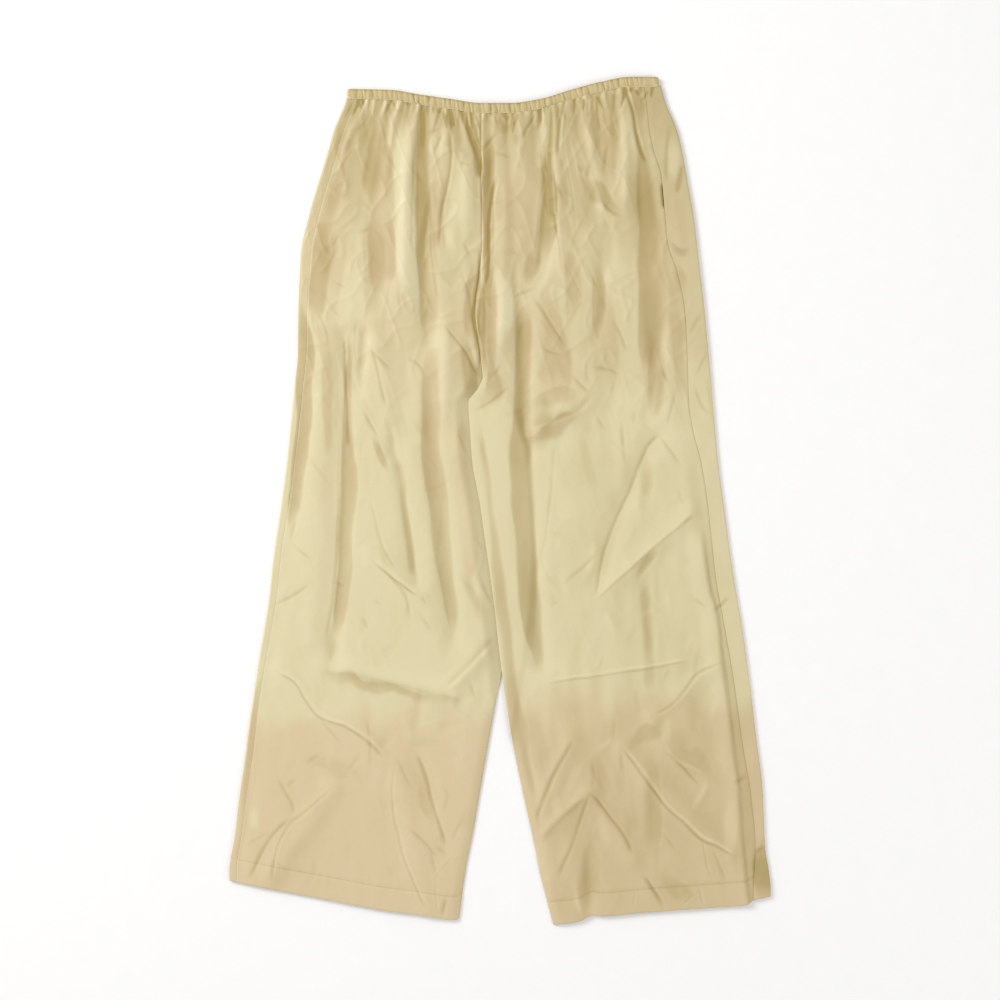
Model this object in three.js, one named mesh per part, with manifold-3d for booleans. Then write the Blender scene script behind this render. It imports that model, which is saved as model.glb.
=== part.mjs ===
// Relaxed pull-on pants of thin satin, laid flat on a surface with the front up.
// Millimetres. +X is to the viewer's right, +Y towards the waist, +Z up from the surface.
// The origin is at the middle of the outline, on the surface that the pants lie on.
// Left and right are the wearer's, so the right leg lies at -X.
import * as THREE from "three";
import Module from "manifold-3d";
import { mergeVertices } from "three/addons/utils/BufferGeometryUtils.js";

// Cloth and seams
const WALL = 1.2;
const SEAM_GAP = 0.3;
const LAYER = WALL + SEAM_GAP;
const REST = WALL / 2;
const HEM_DEPTH = 29;
const HEM_PLY = 1.0;

// Elastic casing: 12.7 mm tall, two runs on each other, joined at both ends
const CASING = {
  left: -186,
  right: 193.5,
  height: 12.7,
  depth: 3.2,
  backMiddle: 1.6,
  frontMiddle: 5.2,
  puckers: 48,
  puckerDepth: 0.6,
  puckerRise: 0.4,
};
const CASING_TOP = [
  { x: -186, y: 500.8 },
  { x: -134, y: 499.6 },
  { x: -98, y: 494 },
  { x: -60, y: 488.6 },
  { x: -24, y: 483.7 },
  { x: 13, y: 483.7 },
  { x: 49, y: 488.6 },
  { x: 86, y: 499.6 },
  { x: 123, y: 509.4 },
  { x: 159, y: 515.5 },
  { x: 194, y: 515.5 },
];

// Sections of each leg, from the waist down: the outer fold and the side seam, which is rolled
// onto the front
const RIGHT_SECTIONS = [
  { y: 500, outer: -185, seam: -173 },
  { y: 487, outer: -187.5, seam: -175.5 },
  { y: 451, outer: -202, seam: -190 },
  { y: 402, outer: -216.5, seam: -204.5 },
  { y: 353, outer: -231, seam: -219 },
  { y: 304, outer: -242, seam: -230 },
  { y: 280, outer: -243.5, seam: -232 },
  { y: 231, outer: -246, seam: -235 },
  { y: 182, outer: -246, seam: -236 },
  { y: 142, outer: -250, seam: -240 },
  { y: 85, outer: -255.5, seam: -246 },
  { y: -2, outer: -266, seam: -257 },
  { y: -62, outer: -275, seam: -266.5 },
  { y: -110, outer: -280, seam: -271.5 },
  { y: -159, outer: -287.5, seam: -279 },
  { y: -209, outer: -296, seam: -288 },
  { y: -257, outer: -303, seam: -295 },
  { y: -306, outer: -309.5, seam: -301 },
  { y: -354, outer: -316.5, seam: -308 },
  { y: -403, outer: -322.5, seam: -314.5 },
  { y: -452, outer: -330, seam: -321 },
  { y: -512, outer: -327, seam: -319 },
];
const LEFT_SECTIONS = [
  { y: 510, outer: 195, seam: 175 },
  { y: 487, outer: 201, seam: 178 },
  { y: 451, outer: 215.5, seam: 182 },
  { y: 426, outer: 221.5, seam: 187 },
  { y: 397, outer: 227, seam: 196 },
  { y: 353, outer: 235, seam: 200.5 },
  { y: 314, outer: 240, seam: 204 },
  { y: 280, outer: 244, seam: 215 },
  { y: 231, outer: 249, seam: 225 },
  { y: 182, outer: 254, seam: 228 },
  { y: 119, outer: 259.5, seam: 230 },
  { y: 85, outer: 262.5, seam: 235 },
  { y: 48, outer: 265.5, seam: 244.5 },
  { y: -5, outer: 272.5, seam: 253 },
  { y: -51, outer: 278.5, seam: 258 },
  { y: -96, outer: 285.5, seam: 263 },
  { y: -130, outer: 291, seam: 269 },
  { y: -171, outer: 297.5, seam: 276.5 },
  { y: -209, outer: 302.5, seam: 283 },
  { y: -257, outer: 308.5, seam: 290 },
  { y: -301, outer: 314, seam: 296 },
  { y: -359, outer: 320.5, seam: 305.5 },
  { y: -425, outer: 323, seam: 311 },
  { y: -452, outer: 327.5, seam: 310 },
  { y: -476, outer: 330, seam: 308.5 },
  { y: -518, outer: 328, seam: 308 },
];

// Centre seam, from the waist to the crotch, and the inner edge of each leg below it
const CENTRE_SEAM = [
  { y: 500, x: -22.5 },
  { y: 397, x: -23 },
  { y: 353, x: -22 },
  { y: 314, x: -22 },
  { y: 280, x: -25 },
  { y: 231, x: -30.5 },
  { y: 182, x: -25 },
  { y: 148, x: -21 },
];
const RIGHT_INSEAM = [
  { y: 148, x: -21 },
  { y: 119, x: -12 },
  { y: 85, x: -2 },
  { y: 60, x: 6.5 },
  { y: -2, x: 11.5 },
  { y: -62, x: 15 },
  { y: -110, x: 13 },
  { y: -159, x: 8 },
  { y: -209, x: 2 },
  { y: -257, x: -7 },
  { y: -306, x: -15.5 },
  { y: -354, x: -24 },
  { y: -403, x: -32.5 },
  { y: -452, x: -42 },
  { y: -512, x: -50 },
];
const LEFT_INSEAM = [
  { y: 148, x: -21 },
  { y: 135, x: -27 },
  { y: 119, x: -38.5 },
  { y: 85, x: -36.5 },
  { y: 48, x: -34 },
  { y: -5, x: -24.5 },
  { y: -51, x: -18 },
  { y: -96, x: -11.5 },
  { y: -130, x: -7 },
  { y: -171, x: -2.5 },
  { y: -209, x: 2 },
  { y: -257, x: 9 },
  { y: -301, x: 16.5 },
  { y: -359, x: 28.5 },
  { y: -425, x: 43 },
  { y: -452, x: 48 },
  { y: -476, x: 54 },
  { y: -518, x: 65 },
];

// Hem lines, from the outer fold to the inner edge
const RIGHT_HEM = [
  { x: -328, y: -464 },
  { x: -292, y: -471.5 },
  { x: -243, y: -481 },
  { x: -195, y: -490 },
  { x: -146, y: -499.5 },
  { x: -97, y: -506 },
  { x: -54, y: -511.8 },
  { x: -48, y: -507 },
];
const LEFT_HEM = [
  { x: 66, y: -517.9 },
  { x: 86, y: -515.5 },
  { x: 98, y: -513 },
  { x: 114, y: -505.7 },
  { x: 123, y: -507 },
  { x: 171, y: -503 },
  { x: 220, y: -499.5 },
  { x: 269, y: -496 },
  { x: 299, y: -493.5 },
  { x: 308, y: -488 },
];
const LEFT_BACK_HEM = [
  { x: 66, y: -515 },
  { x: 114, y: -503 },
  { x: 171, y: -500 },
  { x: 269, y: -493.5 },
  { x: 300, y: -491 },
  { x: 308, y: -488 },
  { x: 328, y: -483.5 },
];

// Height of the front panel's middle over the surface, and of the rolled side edge
const HEIGHTS = [
  { y: 510, body: 5.2, edge: 5.2 },
  { y: 440, body: 5.8, edge: 5.3 },
  { y: 330, body: 5.9, edge: 5.3 },
  { y: 215, body: 5.7, edge: 5.2 },
  { y: 140, body: 5.4, edge: 4.6 },
  { y: 0, body: 5.2, edge: 4.2 },
  { y: -250, body: 5.0, edge: 4.2 },
  { y: -520, body: 5.0, edge: 4.3 },
];

// The left leg's inner thigh lies on the right leg from the crotch down to where the legs part
const CROTCH = { y: 148, easeBelow: 8, easeAbove: 30, foldDrop: 13, cornerDrop: 29 };
const THIGH_LAP = { height: 3.8, flatBeyond: 5, rampEnd: 19, plainFrom: 45, frontSpread: 18 };

// The left front panel laps over the strip beside its side seam as a soft fold, thigh to hem
const SIDE_LAP = { width: 12, lip: 1.8, height: 1.9, fades: 30, starts: -20, full: -70 };

// How far the front's height eases towards its edges, and how low it stays under the other leg
const EASE = { side: 26, inner: 24, lowFrom: 13, lowFades: 30 };

// Levels at which the rows' ends are read from the tables: waist, outer hem, seam hem, inner hem
const LEVELS = { waist: 490, outerHem: -470, seamHem: -485, innerHem: -508 };

// Gathers below the casing: how far down, how many in half a front or back, how high
const GATHER_ROWS = [
  { drop: 0, gathers: 24, height: 1.15 },
  { drop: 9, gathers: 24, height: 1.1 },
  { drop: 22, gathers: 24, height: 0.8 },
  { drop: 44, gathers: 16, height: 0.65 },
  { drop: 72, gathers: 12, height: 0.5 },
  { drop: 102, gathers: 10, height: 0.35 },
];
const BACK_GATHER_HEIGHT = 1.2;

// Largest folds and troughs of the fronts: the two ends of each, half width and height
const FOLDS = [
  { x0: -179, y0: 458, x1: -197, y1: 400, width: 12, height: 1.6 },
  { x0: -157, y0: 480, x1: -147, y1: 243, width: 13, height: -1.8 },
  { x0: -113, y0: 430, x1: -117, y1: 262, width: 13, height: 2.6 },
  { x0: -95, y0: 457, x1: -91, y1: 190, width: 13, height: -3.2 },
  { x0: -46, y0: 446, x1: -46, y1: 321, width: 16, height: 2.4 },
  { x0: -56, y0: 470, x1: -38, y1: 420, width: 9, height: -2 },
  { x0: -67, y0: 212, x1: -67, y1: 102, width: 14, height: 2 },
  { x0: -187, y0: 198, x1: -203, y1: -208, width: 13, height: -2.4 },
  { x0: -216, y0: 170, x1: -231, y1: -170, width: 14, height: 2 },
  { x0: -168, y0: 225, x1: -171, y1: 141, width: 11, height: -2.2 },
  { x0: -148, y0: 190, x1: -132, y1: 85, width: 12, height: 2 },
  { x0: -128, y0: 85, x1: -101, y1: -99, width: 12, height: -2.2 },
  { x0: -85, y0: 85, x1: -58, y1: -171, width: 15, height: -2 },
  { x0: -153, y0: -73, x1: -98, y1: -116, width: 15, height: 2.6 },
  { x0: -22, y0: -185, x1: -68, y1: -232, width: 14, height: 2.4 },
  { x0: -210, y0: -207, x1: -40, y1: -243, width: 16, height: 2.4 },
  { x0: -271, y0: -207, x1: -141, y1: -313, width: 15, height: 2.6 },
  { x0: -101, y0: -308, x1: -65, y1: -424, width: 12, height: -2 },
  { x0: -127, y0: -323, x1: -87, y1: -498, width: 13, height: 2 },
  { x0: -204, y0: -352, x1: -279, y1: -459, width: 14, height: 2.3 },
  { x0: 49, y0: 451, x1: 43, y1: 280, width: 13, height: -2.8 },
  { x0: 65, y0: 478, x1: 74, y1: 286, width: 10, height: 3 },
  { x0: 8, y0: 376, x1: 3, y1: 187, width: 10, height: 2.2 },
  { x0: -13, y0: 392, x1: -15, y1: 300, width: 7, height: -1.8 },
  { x0: 108, y0: 390, x1: 128, y1: 285, width: 13, height: -2.4 },
  { x0: 152, y0: 478, x1: 152, y1: 353, width: 13, height: 2.2 },
  { x0: 172, y0: 452, x1: 190, y1: 170, width: 12, height: -1.7 },
  { x0: 24, y0: 245, x1: 30, y1: 60, width: 14, height: -2.4 },
  { x0: 26, y0: 18, x1: 50, y1: -196, width: 13, height: -2.2 },
  { x0: 110, y0: 124, x1: 37, y1: 87, width: 14, height: 2.2 },
  { x0: 192, y0: 80, x1: 150, y1: -5, width: 12, height: -2.2 },
  { x0: 150, y0: -5, x1: 117, y1: -120, width: 12, height: -2.2 },
  { x0: 117, y0: -120, x1: 237, y1: -14, width: 13, height: 2.6 },
  { x0: 60, y0: -221, x1: 231, y1: -195, width: 15, height: 1.6 },
  { x0: 262, y0: -203, x1: 187, y1: -265, width: 13, height: 2.2 },
  { x0: 88, y0: -293, x1: 45, y1: -395, width: 13, height: 2.3 },
  { x0: 109, y0: -357, x1: 57, y1: -412, width: 12, height: 2 },
  { x0: 109, y0: -357, x1: 163, y1: -434, width: 13, height: 2.3 },
  { x0: 149, y0: -301, x1: 278, y1: -430, width: 13, height: 2.9 },
  { x0: 203, y0: -298, x1: 257, y1: -336, width: 13, height: 1.8 },
  { x0: 108, y0: -429, x1: 108, y1: -500, width: 10, height: -1.6 },
];

// Rows and columns of the panels' meshes
const PITCH = 28;
const FRONT_COLUMNS = 16;
const BACK_COLUMNS = 5;
const BEND_STEPS = 4;

// Pocket bags: flat pouches inside the fronts, open at the mouth in the side seam
const POCKET = { bottom: 1.9, wall: 1.0, slot: 0.3, seamWidth: 4 };
const OVER_POCKET = { low: 190, full: 212, reach: 150, fades: 24 };
const LEFT_POCKET = [
  { x: 183, y: 424 },
  { x: 198, y: 360 },
  { x: 214, y: 352 },
  { x: 228, y: 338 },
  { x: 226, y: 320 },
  { x: 209, y: 306 },
  { x: 206, y: 262 },
  { x: 190, y: 234 },
  { x: 160, y: 224 },
  { x: 122, y: 230 },
  { x: 100, y: 262 },
  { x: 95, y: 340 },
  { x: 100, y: 424 },
];
const RIGHT_POCKET = [
  { x: -196, y: 424 },
  { x: -213, y: 360 },
  { x: -216, y: 320 },
  { x: -213, y: 262 },
  { x: -196, y: 234 },
  { x: -166, y: 224 },
  { x: -128, y: 230 },
  { x: -106, y: 262 },
  { x: -101, y: 340 },
  { x: -108, y: 424 },
];

// Finish of the satin
const SATIN = new THREE.MeshStandardMaterial({ color: 0xd5c49c, roughness: 0.42, metalness: 0 });
const SATIN_INSIDE = new THREE.MeshStandardMaterial({ color: 0xc9b78c, roughness: 0.6, metalness: 0 });

const { clamp, lerp, smoothstep } = THREE.MathUtils;

/** Value of a table's column at a place along another, smooth and without overshoot. */
function tableValue(table, key, column, at) {
  const rows = [...table].sort((a, b) => a[key] - b[key]);
  const last = rows.length - 1;
  const place = clamp(at, rows[0][key], rows[last][key]);
  let i = 0;
  while (i < last - 1 && rows[i + 1][key] < place) i += 1;
  const slope = (k) => (rows[k + 1][column] - rows[k][column]) / (rows[k + 1][key] - rows[k][key]);
  const tangent = (k) => {
    if (k === 0) return slope(0);
    if (k === last) return slope(last - 1);
    const before = slope(k - 1);
    const after = slope(k);
    return before * after <= 0 ? 0 : (2 * before * after) / (before + after);
  };
  const span = rows[i + 1][key] - rows[i][key];
  const t = (place - rows[i][key]) / span;
  const rise = (1 + 2 * t) * (1 - t) ** 2 * rows[i][column] + t * t * (3 - 2 * t) * rows[i + 1][column];
  return rise + span * (t * (1 - t) ** 2 * tangent(i) + t * t * (t - 1) * tangent(i + 1));
}

/** Lower edge of the casing at x, less the gap of the waist seam. */
function waistSeam(x) {
  return tableValue(CASING_TOP, "x", "y", x) - CASING.height - SEAM_GAP;
}

/** Sum of the folds at a point of the fronts. */
function foldHeight(x, y) {
  let height = 0;
  for (const fold of FOLDS) {
    const dx = fold.x1 - fold.x0;
    const dy = fold.y1 - fold.y0;
    const t = clamp(((x - fold.x0) * dx + (y - fold.y0) * dy) / (dx * dx + dy * dy), 0, 1);
    const away = Math.hypot(x - fold.x0 - t * dx, y - fold.y0 - t * dy) / fold.width;
    height += fold.height * Math.exp(-away * away);
  }
  return height;
}

/** An uneven factor between 0.7 and 1.3 for each gather. */
function uneven(index) {
  return 1 + 0.3 * Math.sin(index * 2.4 + 1.3 * Math.sin(index * 0.7));
}

/** Edge functions and lengths of a leg's panels, from its tables. */
function describeLeg(side, sections, inseam, hem, backHem) {
  const outer = (y) => tableValue(sections, "y", "outer", y);
  const seam = (y) => tableValue(sections, "y", "seam", y);
  const inner = (y) => tableValue(y > CROTCH.y ? CENTRE_SEAM : inseam, "y", "x", y);
  const top = { outer: outer(LEVELS.waist), seam: seam(LEVELS.waist), inner: inner(LEVELS.waist) };
  const bottom = {
    outer: outer(LEVELS.outerHem),
    seam: seam(LEVELS.seamHem),
    inner: inner(LEVELS.innerHem),
  };
  const hemAt = (x) => tableValue(hem, "x", "y", x);
  const backHemAt = (x) => tableValue(backHem, "x", "y", x);
  const innerTop = waistSeam(top.inner);
  const length = innerTop - hemAt(bottom.inner);
  return { side, laps: side > 0, outer, seam, inner, top, bottom, hemAt, backHemAt, innerTop, length };
}

const RIGHT_LEG = describeLeg(-1, RIGHT_SECTIONS, RIGHT_INSEAM, RIGHT_HEM, RIGHT_HEM);
const LEFT_LEG = describeLeg(1, LEFT_SECTIONS, LEFT_INSEAM, LEFT_HEM, LEFT_BACK_HEM);

/** How far a height is below the crotch, from 0 just above it to 1 just below it. */
function belowCrotch(y) {
  return 1 - smoothstep(y, CROTCH.y - CROTCH.easeBelow, CROTCH.y + CROTCH.easeAbove);
}

/** Height on which the left leg lies over the right one, easing off sideways by a spread. */
function lapHeight(x, y, spread) {
  const past = x - RIGHT_LEG.inner(y) - spread;
  const sideways = 1 - smoothstep(past, THIGH_LAP.flatBeyond, THIGH_LAP.rampEnd);
  return THIGH_LAP.height * sideways * belowCrotch(y);
}

/** Middle height of the back panel at a point of the underside. */
function backHeight(leg, x, y) {
  return REST + (leg.laps ? lapHeight(x, y, 0) : 0);
}

/** How much of the height a front panel keeps beside its inner edge, 0 at the edge. */
function innerEase(leg, x, y) {
  const inward = leg.side * (x - leg.inner(y));
  let share = smoothstep(inward, 0, EASE.inner);
  if (!leg.laps) share *= smoothstep(LEFT_LEG.inner(y) - x, EASE.lowFrom, EASE.lowFades);
  return 1 - belowCrotch(y) * (1 - share);
}

/** Middle height of a front panel, with the gathers' ripple and room for turned-up plies. */
function frontHeight(leg, x, y, ripple, plies) {
  const edge = tableValue(HEIGHTS, "y", "edge", y);
  let body = tableValue(HEIGHTS, "y", "body", y) + foldHeight(x, y);
  const inward = leg.side * (leg.seam(y) - x);
  const lapped = leg.laps ? 1 - smoothstep(y, SIDE_LAP.full, SIDE_LAP.starts) : 0;
  const crest = 1 - smoothstep(inward, SIDE_LAP.width, SIDE_LAP.width + SIDE_LAP.fades);
  body += lapped * SIDE_LAP.height * crest;
  const soft = smoothstep(inward, 0, EASE.side);
  const sharp = smoothstep(inward, SIDE_LAP.width - SIDE_LAP.lip, SIDE_LAP.width + SIDE_LAP.lip);
  const height = lerp(edge, body, lerp(soft, sharp, lapped)) + ripple;
  const pocketTop = POCKET.bottom + 2 * POCKET.wall + POCKET.slot;
  const alongPocket = smoothstep(y, OVER_POCKET.low, OVER_POCKET.full);
  const overPocket = alongPocket * smoothstep(OVER_POCKET.reach - inward, 0, OVER_POCKET.fades);
  const under = leg.laps ? REST + lapHeight(x, y, THIGH_LAP.frontSpread) : REST;
  const overHem = under + LAYER + 2 * plies * HEM_PLY;
  const least = Math.max(overHem, overPocket * (pocketTop + SEAM_GAP + REST));
  return lerp(least, Math.max(height, least), innerEase(leg, x, y));
}

/** Rows of a panel: how far below the waist seam each lies, at the inner edge. */
function rowPlan(leg) {
  const crotchDrop = leg.innerTop - CROTCH.y;
  const hemDrop = leg.length - HEM_DEPTH;
  const plain = { gathers: 0, height: 0, plies: 0, room: 0 };
  const plan = GATHER_ROWS.map((row) => ({ ...plain, ...row }));
  const addSpan = (from, to) => {
    const steps = Math.max(1, Math.round((to - from) / PITCH));
    for (let i = 1; i <= steps; i += 1) plan.push({ ...plain, drop: lerp(from, to, i / steps) });
  };
  addSpan(GATHER_ROWS[GATHER_ROWS.length - 1].drop, crotchDrop);
  plan.push({ ...plain, drop: crotchDrop + CROTCH.foldDrop });
  plan.push({ ...plain, drop: crotchDrop + CROTCH.cornerDrop });
  addSpan(crotchDrop + CROTCH.cornerDrop, hemDrop);
  plan[plan.length - 1].room = 1;
  plan.push({ ...plain, drop: hemDrop + 2, plies: 1, room: 1 });
  plan.push({ ...plain, drop: leg.length, plies: 1, room: 1 });
  return plan;
}

/** Height along Y of a panel's point in a row, s of the way down, where xAt gives its X at any Y. */
function settleY(s, topX, hemX, hemAt, xAt) {
  let y = lerp(waistSeam(topX), hemAt(hemX), s);
  for (let pass = 0; pass < 3; pass += 1) {
    const x = xAt(y);
    y = lerp(waistSeam(lerp(x, topX, s)), hemAt(lerp(hemX, x, s)), s);
  }
  return y;
}

/** Rows of middle points of a front panel, each from the side seam to the inner edge. */
function frontRows(leg) {
  const gap = leg.side * SEAM_GAP / 2;
  return rowPlan(leg).map((row) => {
    const columns = row.gathers ? row.gathers * 2 : FRONT_COLUMNS;
    const points = [];
    for (let i = 0; i <= columns; i += 1) {
      const u = i / columns;
      const topX = lerp(leg.top.seam, leg.top.inner, u);
      const hemX = lerp(leg.bottom.seam, leg.bottom.inner, u);
      const xAt = (height) => lerp(leg.seam(height), leg.inner(height), u);
      const y = settleY(row.drop / leg.length, topX, hemX, leg.hemAt, xAt);
      const from = leg.seam(y) - gap;
      const to = leg.inner(y) + gap;
      let place = u;
      if (leg.laps && !row.gathers) {
        const width = Math.abs(to - from);
        const lip = [0, SIDE_LAP.width - SIDE_LAP.lip, SIDE_LAP.width + SIDE_LAP.lip];
        place = i < 3 ? lip[i] / width : lerp(lip[2] / width, 1, (i - 2) / (columns - 2));
      }
      const x = lerp(from, to, place);
      const free = i === 0 || i === columns ? 0 : 1;
      const ripple = free * row.height * (i % 2 ? 1 : -1) * uneven(i + leg.side * 7);
      points.push({ u: place, x, y, z: frontHeight(leg, x, y, ripple, row.room), ply: row.plies });
    }
    return points;
  });
}

/** Rows of middle points of a back panel: seam, strip on the front, outer fold, underside. */
function backRows(leg) {
  const gap = leg.side * SEAM_GAP / 2;
  return rowPlan(leg).map((row) => {
    const s = row.drop / leg.length;
    const points = [];
    const add = (u, x, y, z) => points.push({ u, x, y, z, ply: row.plies });
    const seamY = settleY(s, leg.top.seam, leg.bottom.seam, leg.hemAt, leg.seam);
    const outerY = settleY(s, leg.top.outer, leg.bottom.outer, leg.backHemAt, leg.outer);
    const edge = tableValue(HEIGHTS, "y", "edge", seamY);
    const radius = (edge - REST) / 2;
    const centre = leg.outer(outerY) - leg.side * (REST + radius);
    const seamX = leg.seam(seamY) + gap;
    add(0, seamX, seamY, edge);
    add(0.1, (seamX + centre) / 2, (seamY + outerY) / 2, edge);
    for (let i = 0; i <= BEND_STEPS; i += 1) {
      const angle = Math.PI / 2 - (i / BEND_STEPS) * Math.PI;
      const x = centre + leg.side * radius * Math.cos(angle);
      add(0.2 + 0.02 * i, x, outerY, REST + radius + radius * Math.sin(angle));
    }
    const columns = row.gathers ? row.gathers * 2 : BACK_COLUMNS;
    for (let i = 1; i <= columns; i += 1) {
      const t = i / columns;
      const topX = lerp(leg.top.outer, leg.top.inner, t);
      const hemX = lerp(leg.bottom.outer, leg.bottom.inner, t);
      const xAt = (height) => lerp(centre, leg.inner(height), t);
      const y = settleY(s, topX, hemX, leg.backHemAt, xAt);
      const innerX = leg.inner(y) + gap;
      const lapped = RIGHT_LEG.inner(y) - leg.inner(y);
      const rampAt = innerX + Math.max(lapped, 0);
      const flatAt = rampAt + THIGH_LAP.flatBeyond;
      const rampPlaces = [rampAt + THIGH_LAP.plainFrom, rampAt + THIGH_LAP.rampEnd, flatAt];
      const lapPlaces = [...rampPlaces, (flatAt + innerX) / 2, innerX];
      const x = leg.laps && !row.gathers ? lapPlaces[i - 1] : lerp(centre, innerX, t);
      const crest = i === columns ? 0 : 0.5 + 0.5 * (i % 2 ? 1 : -1) * uneven(i);
      const ripple = (row.height / GATHER_ROWS[0].height) * BACK_GATHER_HEIGHT * clamp(crest, 0, 1);
      add(0.3 + 0.7 * t, x, y, backHeight(leg, x, y) + ripple);
    }
    return points;
  });
}

/** Joins two rows of any length into triangles, in order of their places along the row. */
function stitchRows(upper, lower, triangles) {
  let i = 0;
  let j = 0;
  while (i < upper.length - 1 || j < lower.length - 1) {
    const nextUpper = i < upper.length - 1 ? upper[i + 1].u + upper[i].u : Infinity;
    const nextLower = j < lower.length - 1 ? lower[j + 1].u + lower[j].u : Infinity;
    if (nextUpper <= nextLower) {
      triangles.push([upper[i].id, lower[j].id, upper[i + 1].id]);
      i += 1;
    } else {
      triangles.push([upper[i].id, lower[j].id, lower[j + 1].id]);
      j += 1;
    }
  }
}

/** Closed wall of cloth round rows of middle points. */
function clothWall(rows, facing) {
  const points = rows.flat();
  points.forEach((point, id) => {
    point.id = id;
    point.normal = new THREE.Vector3();
  });
  const triangles = [];
  for (let r = 0; r < rows.length - 1; r += 1) stitchRows(rows[r], rows[r + 1], triangles);
  if (facing < 0) triangles.forEach((triangle) => triangle.reverse());
  const place = (point) => new THREE.Vector3(point.x, point.y, point.z);
  for (const [a, b, c] of triangles) {
    const origin = place(points[a]);
    const normal = place(points[b]).sub(origin).cross(place(points[c]).sub(origin));
    for (const id of [a, b, c]) points[id].normal.add(normal);
  }
  const rim = new Set([...rows[0], ...rows[rows.length - 1]]);
  rows.forEach((row) => {
    rim.add(row[0]);
    rim.add(row[row.length - 1]);
  });
  const count = points.length;
  const positions = new Float32Array(count * 6);
  points.forEach((point, id) => {
    const normal = point.normal.normalize();
    const flatEnd = rim.has(point) && Math.abs(normal.z) > 0.5;
    if (flatEnd) normal.set(0, 0, Math.sign(normal.z));
    const outside = place(point).addScaledVector(normal, WALL / 2);
    const inside = place(point).addScaledVector(normal, -WALL / 2 - point.ply * HEM_PLY);
    outside.toArray(positions, id * 3);
    inside.toArray(positions, (count + id) * 3);
  });
  const edges = new Map();
  for (const [a, b, c] of triangles) {
    for (const [from, to] of [[a, b], [b, c], [c, a]]) {
      const back = `${to},${from}`;
      if (edges.has(back)) edges.delete(back);
      else edges.set(`${from},${to}`, [from, to]);
    }
  }
  const index = [];
  for (const [a, b, c] of triangles) index.push(a, b, c, count + a, count + c, count + b);
  for (const [from, to] of edges.values()) {
    index.push(to, from, count + from, to, count + from, count + to);
  }
  const geometry = new THREE.BufferGeometry();
  geometry.setAttribute("position", new THREE.BufferAttribute(positions, 3));
  geometry.setIndex(index);
  return geometry;
}

/** Stations along the casing: its front run, right end, back run and left end. */
function casingStations() {
  const radius = (CASING.frontMiddle - CASING.backMiddle) / 2;
  const middle = (CASING.frontMiddle + CASING.backMiddle) / 2;
  const inset = CASING.depth / 2 + radius;
  const leftX = CASING.left + inset;
  const rightX = CASING.right - inset;
  const steps = CASING.puckers * 2;
  const stations = [];
  const run = (from, to, z, out) => {
    for (let i = 0; i <= steps; i += 1) {
      const valley = i % 2 ? uneven(i) : 0;
      stations.push({ x: lerp(from, to, i / steps), z, outX: 0, outZ: out, valley });
    }
  };
  const end = (x, side) => {
    for (let i = 1; i < BEND_STEPS; i += 1) {
      const angle = side * (Math.PI / 2 - (i / BEND_STEPS) * Math.PI);
      const outX = Math.cos(angle) * side;
      const outZ = Math.sin(angle) * side * side;
      stations.push({ x: x + radius * outX, z: middle + radius * outZ, outX, outZ, valley: 0 });
    }
  };
  run(leftX, rightX, CASING.frontMiddle, 1);
  end(rightX, 1);
  run(rightX, leftX, CASING.backMiddle, -1);
  end(leftX, -1);
  return stations;
}

/** Solid ring of the casing with the elastic inside it. */
function casingRing() {
  const section = [
    { along: 0.5, out: 0 },
    { along: 0.32, out: 1 },
    { along: -0.32, out: 1 },
    { along: -0.5, out: 0 },
    { along: -0.32, out: -1 },
    { along: 0.32, out: -1 },
  ];
  const positions = [];
  const index = [];
  const stations = casingStations();
  for (const station of stations) {
    const height = CASING.height - station.valley * CASING.puckerRise;
    const y = tableValue(CASING_TOP, "x", "y", station.x) - CASING.height / 2;
    for (const corner of section) {
      const valley = corner.out > 0 ? station.valley * CASING.puckerDepth : 0;
      const out = corner.out * (CASING.depth / 2 - valley);
      positions.push(station.x + station.outX * out);
      positions.push(y + corner.along * height);
      positions.push(station.z + station.outZ * out);
    }
  }
  const ring = section.length;
  for (let i = 0; i < stations.length; i += 1) {
    const next = (i + 1) % stations.length;
    for (let j = 0; j < ring; j += 1) {
      const k = (j + 1) % ring;
      const a = i * ring + j;
      const b = i * ring + k;
      const c = next * ring + k;
      const d = next * ring + j;
      index.push(a, b, c, a, c, d);
    }
  }
  const geometry = new THREE.BufferGeometry();
  geometry.setAttribute("position", new THREE.Float32BufferAttribute(positions, 3));
  geometry.setIndex(index);
  return geometry;
}

/** Flat plate with an outline, from one height to another. */
function plate(outline, from, thickness) {
  const shape = new THREE.Shape(outline.map((point) => new THREE.Vector2(point.x, point.y)));
  const geometry = new THREE.ExtrudeGeometry(shape, { depth: thickness, bevelEnabled: false });
  geometry.translate(0, 0, from);
  geometry.deleteAttribute("normal");
  geometry.deleteAttribute("uv");
  return mergeVertices(geometry);
}

const wasm = await Module();
wasm.setup();

/** Solid of a closed geometry, ready for cutting. */
function toSolid(geometry) {
  const vertProperties = new Float32Array(geometry.getAttribute("position").array);
  const triVerts = new Uint32Array(geometry.getIndex().array);
  return new wasm.Manifold(new wasm.Mesh({ numProp: 3, vertProperties, triVerts }));
}

/** Geometry of a solid that was cut. */
function toGeometry(solid) {
  const mesh = solid.getMesh();
  const geometry = new THREE.BufferGeometry();
  geometry.setAttribute("position", new THREE.BufferAttribute(mesh.vertProperties, 3));
  geometry.setIndex(new THREE.BufferAttribute(mesh.triVerts, 1));
  return geometry;
}

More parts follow.
